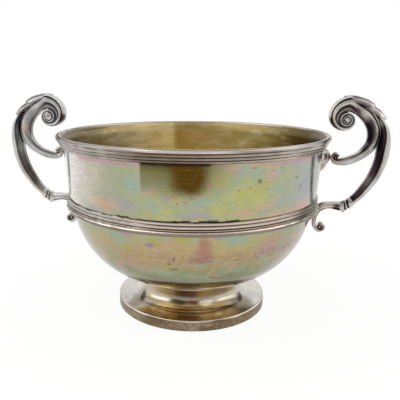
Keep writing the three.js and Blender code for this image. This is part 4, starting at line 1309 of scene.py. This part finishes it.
quarters = np.arange((len(QUARTER_RADII) - 1) * TURN_STEPS, -1, -1) / TURN_STEPS
scroll = [spiral_edges(q) + [float(np.interp(q, (0, 4), (CROWN_WIDTH, EYE_WIDTH)))] for q in quarters]
arm = curve_through([spiral_edges(0)] + from_corner(C_ROWS), 8, before=spiral_edges(0.55))[1:]
arm_share = np.linspace(0, 1, len(arm))
arm_width = np.interp(arm_share, (0, 0.25, 0.5, 0.75, 1), ARM_WIDTHS)
scroll += [list(edge) + [width] for edge, width in zip(arm, arm_width)]
scroll_sections = [blended(CROWN, RIBBON, (q - 0.9) / 1.2) for q in quarters]
scroll_sections += [blended(blended(CROWN, C_SIDE, s / 0.16), ARM, (s - 0.34) / 0.16) for s in arm_share]
scroll_bar = bar(scroll, scroll_sections)
print("volute and C scroll:", len(scroll_bar[1]), "faces")

# %% [markdown]
# A thin wall closes the volute between its turns, as in the casting, so that one can't look
# through it. A disc would stick out where the spiral is narrow, so the wall follows the strap's
# inner edge for the first whole turn, as a fan of faces about the eye.

# %% The wall in the volute
WEB = 3.2


def web():
    """The thin wall that closes the volute between its turns."""
    rim_points = []
    for q in np.arange(4 * TURN_STEPS) / TURN_STEPS:
        angle = math.pi / 2 * (1 + q)
        radius = spiral_radius(q) - INNER_STRAP
        rim_points.append((EYE[0] + radius * math.cos(angle), EYE[1] + radius * math.sin(angle)))
    count = len(rim_points)
    points = [(x, side * WEB, z) for side in (-1, 1) for x, z in rim_points]
    points += [(EYE[0], -WEB, EYE[1]), (EYE[0], WEB, EYE[1])]
    faces = []
    for i in range(count):
        j = (i + 1) % count
        faces += [(i, j, 2 * count), (count + j, count + i, 2 * count + 1), (j, i, count + i, count + j)]
    return points, faces, [0.8] * len(points)


volute_shape = join(scroll_bar, web())
print("with its wall:", len(volute_shape[1]), "faces")

# %% [markdown]
# A small turned boss sits in the eye of each volute: a cone in a ring on one side, and a flat
# disc with a drilled middle on the other. The tight curls lower down are filled by smaller eyes.
# The lathe tree turns about the upright only, so these outlines are turned by hand, about a line
# from front to back, with dark grooves between bright rings.

# %% Bosses and eyes
EYE_STEPS_ROUND = 32
CONE = [(2.95, 0, 1), (3.0, 0.9, 0.3), (2.8, 1.35, 0), (2.45, 1.4, 0.1), (2.25, 1.0, 1), (2.05, 1.1, 0.9),
        (1.95, 1.9, 0.1), (1.75, 2.5, 0), (1.3, 3.0, 0), (0.6, 3.3, 0), (0, 3.35, 0)]
DISC = [(2.95, 0, 1), (3.0, 1.0, 0.3), (2.85, 1.5, 0), (2.4, 1.75, 0), (1.8, 1.85, 0.05), (1.2, 1.9, 0),
        (0.75, 1.85, 0.1), (0.55, 1.4, 1), (0, 1.3, 1)]
EYE_HOLLOW = [(1.95, 0, 1), (1.95, 1.7, 0.8), (1.7, 1.8, 0.6), (1.3, 1.3, 1), (0.95, 1.4, 0.9),
              (0.75, 1.9, 0.1), (0.4, 2.15, 0), (0, 2.2, 0)]


def turned_eye(centre, outline, start, side):
    """Turns rows of radius, height and darkness about a line that points to the front or the back."""
    rows = [(0.0, 0.0, 1.0)] + [tuple(row) for row in dense(outline)]
    points, faces, hollow = [], [], []
    for radius, out, dark in rows:
        for k in range(EYE_STEPS_ROUND):
            angle = 2 * math.pi * k / EYE_STEPS_ROUND
            points.append((centre[0] + max(radius, 0) * math.cos(angle), side * (start + out),
                           centre[1] + max(radius, 0) * math.sin(angle)))
            hollow.append(dark)
    for i in range(len(rows) - 1):
        for k in range(EYE_STEPS_ROUND):
            a, b = i * EYE_STEPS_ROUND + k, i * EYE_STEPS_ROUND + (k + 1) % EYE_STEPS_ROUND
            faces.append((a, b, b + EYE_STEPS_ROUND, a + EYE_STEPS_ROUND))
    return points, faces, hollow


front_boss_shape = turned_eye(EYE, CONE, WEB - 0.05, -1)
back_boss_shape = turned_eye(EYE, DISC, WEB - 0.05, 1)
curl_eye, tail_eye = (join(*(turned_eye(CORNER + place, EYE_HOLLOW, 0, side) for side in (-1, 1)))
                      for place in ((4.9, -18.5), (-3.4, -76.7)))
volute_shape = join(volute_shape, curl_eye)
print("front boss:", len(front_boss_shape[1]), "faces")

# %% [markdown]
# Two leaves lap over the crown, the second from under the first. They are thin arched castings
# with a middle rib and veins, and each ends in a raised tip. They could be carved from a block.
# As bars with a leaf's section they follow the crown by themselves.

# %% Crown leaves
LEAF_SECTION = dense([(0.0, 0, 0.1), (0.02, 0.1, 0.2), (0.1, 0.2, 0.9), (0.08, 0.32, 0.4), (0.12, 0.46, 0.3),
                      (0.26, 0.58, 1.0), (0.28, 0.7, 0.4), (0.42, 0.85, 0.2), (0.66, 0.98, 0.1),
                      (0.86, 1.0, 0.3), (1.0, 0.9, 0.8), (1.0, 0.5, 1), (1.0, 0, 1)])
FIRST_LEAF = [(8, 29.3, 9, 25.5, 7.5), (12, 29.85, 12.4, 25.2, 9.5), (17, 29.65, 16.4, 24.4, 10.8),
              (22, 28.5, 20.2, 22.8, 11.2), (26.5, 27.0, 24.4, 21.2, 10.8), (29.8, 25.0, 28.2, 20.4, 8.8),
              (31.7, 23.2, 30.7, 20.6, 5.5), (32.4, 21.9, 31.8, 21.1, 1.2)]
SECOND_LEAF = [(24.2, 25.8, 22.5, 21.0, 9.0), (28.4, 23.7, 26.4, 18.6, 10.6), (32.5, 21.4, 30.2, 16.6, 11.4),
               (35.7, 19.3, 33.4, 14.6, 11.4), (38.5, 16.5, 36.4, 12.8, 9.6), (40.6, 13.9, 39.2, 11.8, 6),
               (41.7, 12.2, 41.2, 11.6, 1.2)]

leaf_shape = join(*(bar(curve_through(from_corner(rows), 6), LEAF_SECTION)
                    for rows in (FIRST_LEAF, SECOND_LEAF)))
print("crown leaves:", len(leaf_shape[1]), "faces")

# %% [markdown]
# The outer arm has a light, finely reeded cap over a deep hollow side that keeps its tarnish.
# Loose wires could lie along it as reeds. They follow the arm more surely as ripples in its
# section, from a count and a depth.

# %% Outer arm
CAP_REEDS = 5
CAP_DEPTH = 0.5
RIPPLE = 0.045


def cap_section():
    """The reeded cap, then the hollow side under it."""
    rows = [(0.0, 0.0, 0.0)]
    for share in np.arange(1, CAP_REEDS * 6 + 1) / (CAP_REEDS * 6):
        angle = share * math.pi / 2
        wave = 0.5 - 0.5 * math.cos(share * CAP_REEDS * 2 * math.pi + math.pi)
        lift = 1 - RIPPLE * (1 - wave)
        rows.append((CAP_DEPTH * (1 - math.cos(angle) * lift), math.sin(angle) * lift, 0.3 * (1 - wave)))
    rows += [(0.53, 0.96, 0.3), (0.56, 0.86, 0.85), (0.62, 0.78, 0.85), (0.72, 0.7, 0.82), (0.84, 0.65, 0.8),
             (0.93, 0.6, 0.8), (0.98, 0.44, 0.75), (1.0, 0.2, 0.7), (1.0, 0, 0.7)]
    return np.array(rows)


ARM_ROWS = [(27.8, 20.3, 27.2, 19.5), (34, 16, 32.8, 14.4), (39.6, 11.3, 36, 8.8), (43.6, 5.2, 37.6, 3.2),
            (45.9, -4, 37.5, -4), (46, -14, 35.9, -12), (44.2, -24.2, 35, -20.8), (39.2, -36.7, 31.2, -32.8),
            (30, -49.6, 24.1, -45.1), (21.9, -57.2, 18.8, -51.5)]


def with_widths(edges, places, widths):
    """Adds a width to each station, from widths given at some shares of the way."""
    return np.column_stack([edges, np.interp(np.linspace(0, 1, len(edges)), places, widths)])


outer_edges = curve_through(from_corner(ARM_ROWS), 8)
outer_shape = bar(with_widths(outer_edges, (0, 0.25, 0.75, 1), (9.5, 11.5, 11.5, 9.5)), cap_section())
print("outer arm:", len(outer_shape[1]), "faces")

# %% [markdown]
# A banded collar, the knop, covers the joint between the outer arm and the lower scroll. Rings
# could be slipped over the bar, but the knop is one casting. So bright bands stand up between
# dark grooves because the bar swells and shrinks on its way.

# %% Knop
ROUND_SECTION = dense([(0, 0, 0), (0.0, 0.3, 0), (0.04, 0.55, 0), (0.14, 0.8, 0), (0.3, 0.95, 0), (0.5, 1.0, 0),
                       (0.7, 0.95, 0), (0.86, 0.8, 0), (0.96, 0.55, 0), (1.0, 0.3, 0), (1.0, 0, 0)])
KNOP_ROWS = [(22.4, -56.9, 19.2, -51.4), (19.2, -60.2, 16.8, -52.4), (18, -60.8, 15.8, -53.4),
             (16.1, -62.3, 14.2, -54), (14.5, -63.8, 13.3, -54), (11.4, -62.5, 10.8, -55.1)]
# A band is a place along the knop, its swell, and how dark it is.
BANDS = ((0.0, 1.0, 0), (0.16, 1.05, 0), (0.22, 1.03, 0), (0.27, 0.84, 1), (0.4, 0.82, 1), (0.45, 1.02, 0),
         (0.55, 1.04, 0), (0.6, 0.84, 1), (0.68, 0.82, 1), (0.73, 1.0, 0.1), (0.84, 0.97, 0), (1.0, 0.92, 0))

places, sizes, darks = zip(*BANDS)
knop_edges = curve_through(from_corner(KNOP_ROWS), 10)
knop_stations, knop_sections = [], []
for share, edge in zip(np.linspace(0, 1, len(knop_edges)), knop_edges):
    size, dark = np.interp(share, places, sizes), np.interp(share, places, darks)
    outer, inner = edge[:2], edge[2:]
    middle = (outer + inner) / 2
    width = np.interp(share, (0, 0.5, 1), (9.6, 8.4, 8.6))
    outer, inner = middle + (outer - middle) * size, middle + (inner - middle) * size
    knop_stations.append([*outer, *inner, width * size])
    knop_sections.append(ROUND_SECTION * (1, 1, 0) + (0, 0, dark))
knop_shape = bar(knop_stations, knop_sections)
print("knop:", len(knop_shape[1]), "faces")

# %% [markdown]
# The lower scroll runs to the girdle, and its tail rolls outwards below it and ends in a bud. It
# is a bar with the arm's section, turned over, because the tail curls the other way.

# %% Lower scroll
LOWER_ROWS = [(12, -62.6, 11.2, -54.9), (3.5, -60.9, 3.7, -55.2), (-2.4, -62.8, -4, -56.4),
              (-5, -65.8, -8.8, -63), (-6.5, -70.8, -9.9, -70), (-6.3, -75.5, -9.1, -77),
              (-4.3, -78.4, -4.6, -81.3), (-1.6, -78.2, 0.4, -79.4), (-1.3, -76, 1.1, -76),
              (-2.6, -74.6, -2.2, -72.5), (-4.2, -75.3, -5.2, -74)]

turned_over = [row[2:] + row[:2] for row in LOWER_ROWS]
lower_edges = curve_through(from_corner(turned_over), 8)
lower_bar = bar(with_widths(lower_edges, (0, 0.25, 0.5, 1), (7.2, 6.8, 5.4, 5.0)), ARM)
lower_shape = join(lower_bar, tail_eye)
print("lower scroll:", len(lower_shape[1]), "faces")

# %% [markdown]
# Leaf-shaped plates spread each arm's pull over the thin wall. They are cast, with a rib, side
# lobes and a point below, and they follow the bowl's round. A flat leaf could be bent on with a
# modifier, but the bowl's radius is a formula. So each is a small grid on it: rows down the leaf,
# columns from edge to edge, raised most along the rib and sunk into the wall at the edge.

# %% A leaf-shaped plate
PLATE_COLUMNS = 24
PLATE_SINK = 0.35
RIB_WIDTH = 0.16
VEIN_DEPTH = 0.35


def plate(rows):
    """Rows are height, half width and stand-off in mm, from the top down."""
    line = curve_through(rows, 8)
    face, back, hollow = [], [], []
    for height, half_width, proud in line:
        base = bowl_radius(height)
        for share in np.arange(PLATE_COLUMNS + 1) / PLATE_COLUMNS * 2 - 1:
            angle = share * max(half_width, 0.15) / base
            dome = max(0.0, 1 - abs(share) ** 2.2) ** 0.7
            rib = math.exp(-(share / RIB_WIDTH) ** 2)
            vein = 0.5 - 0.5 * math.cos(share * 4 * math.pi)
            out = proud * (0.62 * dome + 0.38 * rib * dome) - VEIN_DEPTH * vein * dome
            for row, radius in ((face, base - PLATE_SINK + max(0.0, out)), (back, base - 2 * PLATE_SINK)):
                row.append((radius * math.cos(angle), radius * math.sin(angle), height))
            hollow.append(min(1.0, 0.3 * vein * dome + 0.5 * abs(share) ** 4))
    wide, offset = PLATE_COLUMNS + 1, len(face)
    faces = []
    for i in range(len(line) - 1):
        for k in range(PLATE_COLUMNS):
            a, b = i * wide + k, i * wide + k + 1
            faces += [(a, b, b + wide, a + wide),
                      (offset + b, offset + a, offset + a + wide, offset + b + wide)]
        for a in (i * wide, i * wide + PLATE_COLUMNS):
            faces.append((a, a + wide, offset + a + wide, offset + a))
    for k in range(PLATE_COLUMNS):
        for a in (k, (len(line) - 1) * wide + k):
            faces.append((a, a + 1, offset + a + 1, offset + a))
    return face + back, faces, hollow + [1.0] * len(back)


print("columns in a plate:", PLATE_COLUMNS)

# %% [markdown]
# The upper plate lies behind the upper curl and the lower one behind the tail. Both outlines are
# partly hidden on the real cup, so these rows of height, half width and stand-off are drawn as
# such leaves usually are.

# %% Plates on the wall
upper_plate_shape = plate([(135.2, 2.0, 3.0), (133.6, 5.6, 5.6), (131.6, 7.0, 7.2), (129.6, 6.6, 7.9),
                           (127.8, 7.4, 8.1), (125.4, 6.6, 7.6), (123.2, 4.6, 6.4), (121, 4.4, 5.4),
                           (118.6, 3.0, 4.0), (116.2, 0.4, 1.6)])
lower_plate_shape = plate([(88.6, 4.2, 1.6), (87.6, 5.4, 2.4), (85.2, 5.9, 3.4), (82.6, 5.2, 4.2),
                           (80, 5.4, 4.6), (77.4, 4.2, 4.4), (74.8, 2.4, 3.4), (72.6, 1.3, 2.4),
                           (69.9, 0.3, 1.0)])
print("plates:", len(upper_plate_shape[1]), "and", len(lower_plate_shape[1]), "faces")

# %% [markdown]
# All nine pieces of a handle were drawn for the right side. They could be mirrored, but the real
# handles come from one mould, and the second one is turned half round. So the left handle shows
# its disc in front where the right one shows its cone, and the two bosses change their names.

# %% Put both handles on
HANDLE_PIECES = [("volute_scroll", volute_shape, "volute_scroll", "handle_silver"),
                 ("front_boss", front_boss_shape, "front_boss", "handle_silver"),
                 ("back_boss", back_boss_shape, "back_boss", "handle_silver"),
                 ("crown_leaves", leaf_shape, "crown_leaf", "handle_silver"),
                 ("outer_arm", outer_shape, "outer_arm", "handle_silver"),
                 ("knop", knop_shape, "knop", "handle_silver"),
                 ("lower_scroll", lower_shape, "lower_scroll", "handle_silver"),
                 ("upper_leaf_plate", upper_plate_shape, "upper_plate", "plate_silver"),
                 ("lower_leaf_plate", lower_plate_shape, "lower_plate", "plate_silver")]
OTHER_BOSS = {"front_boss": "back_boss", "back_boss": "front_boss"}

for side in ("right", "left"):
    for name, shape, node, slot_name in HANDLE_PIECES:
        if side == "left" and node in OTHER_BOSS:
            name = node = OTHER_BOSS[node]
        mesh = plain_mesh(f"{side}_{name}_cast", shape, oxidised_silver, left=side == "left")
        show(f"{side}_{name}_cast", mesh, f"{side}_{node}")

# %% [markdown]
# The cup is dressed. The colours are shown as they are, without a film's look, so that silver
# stays neutral.

# %% The last line: colours as they are
bpy.context.scene.view_settings.view_transform = "Standard"
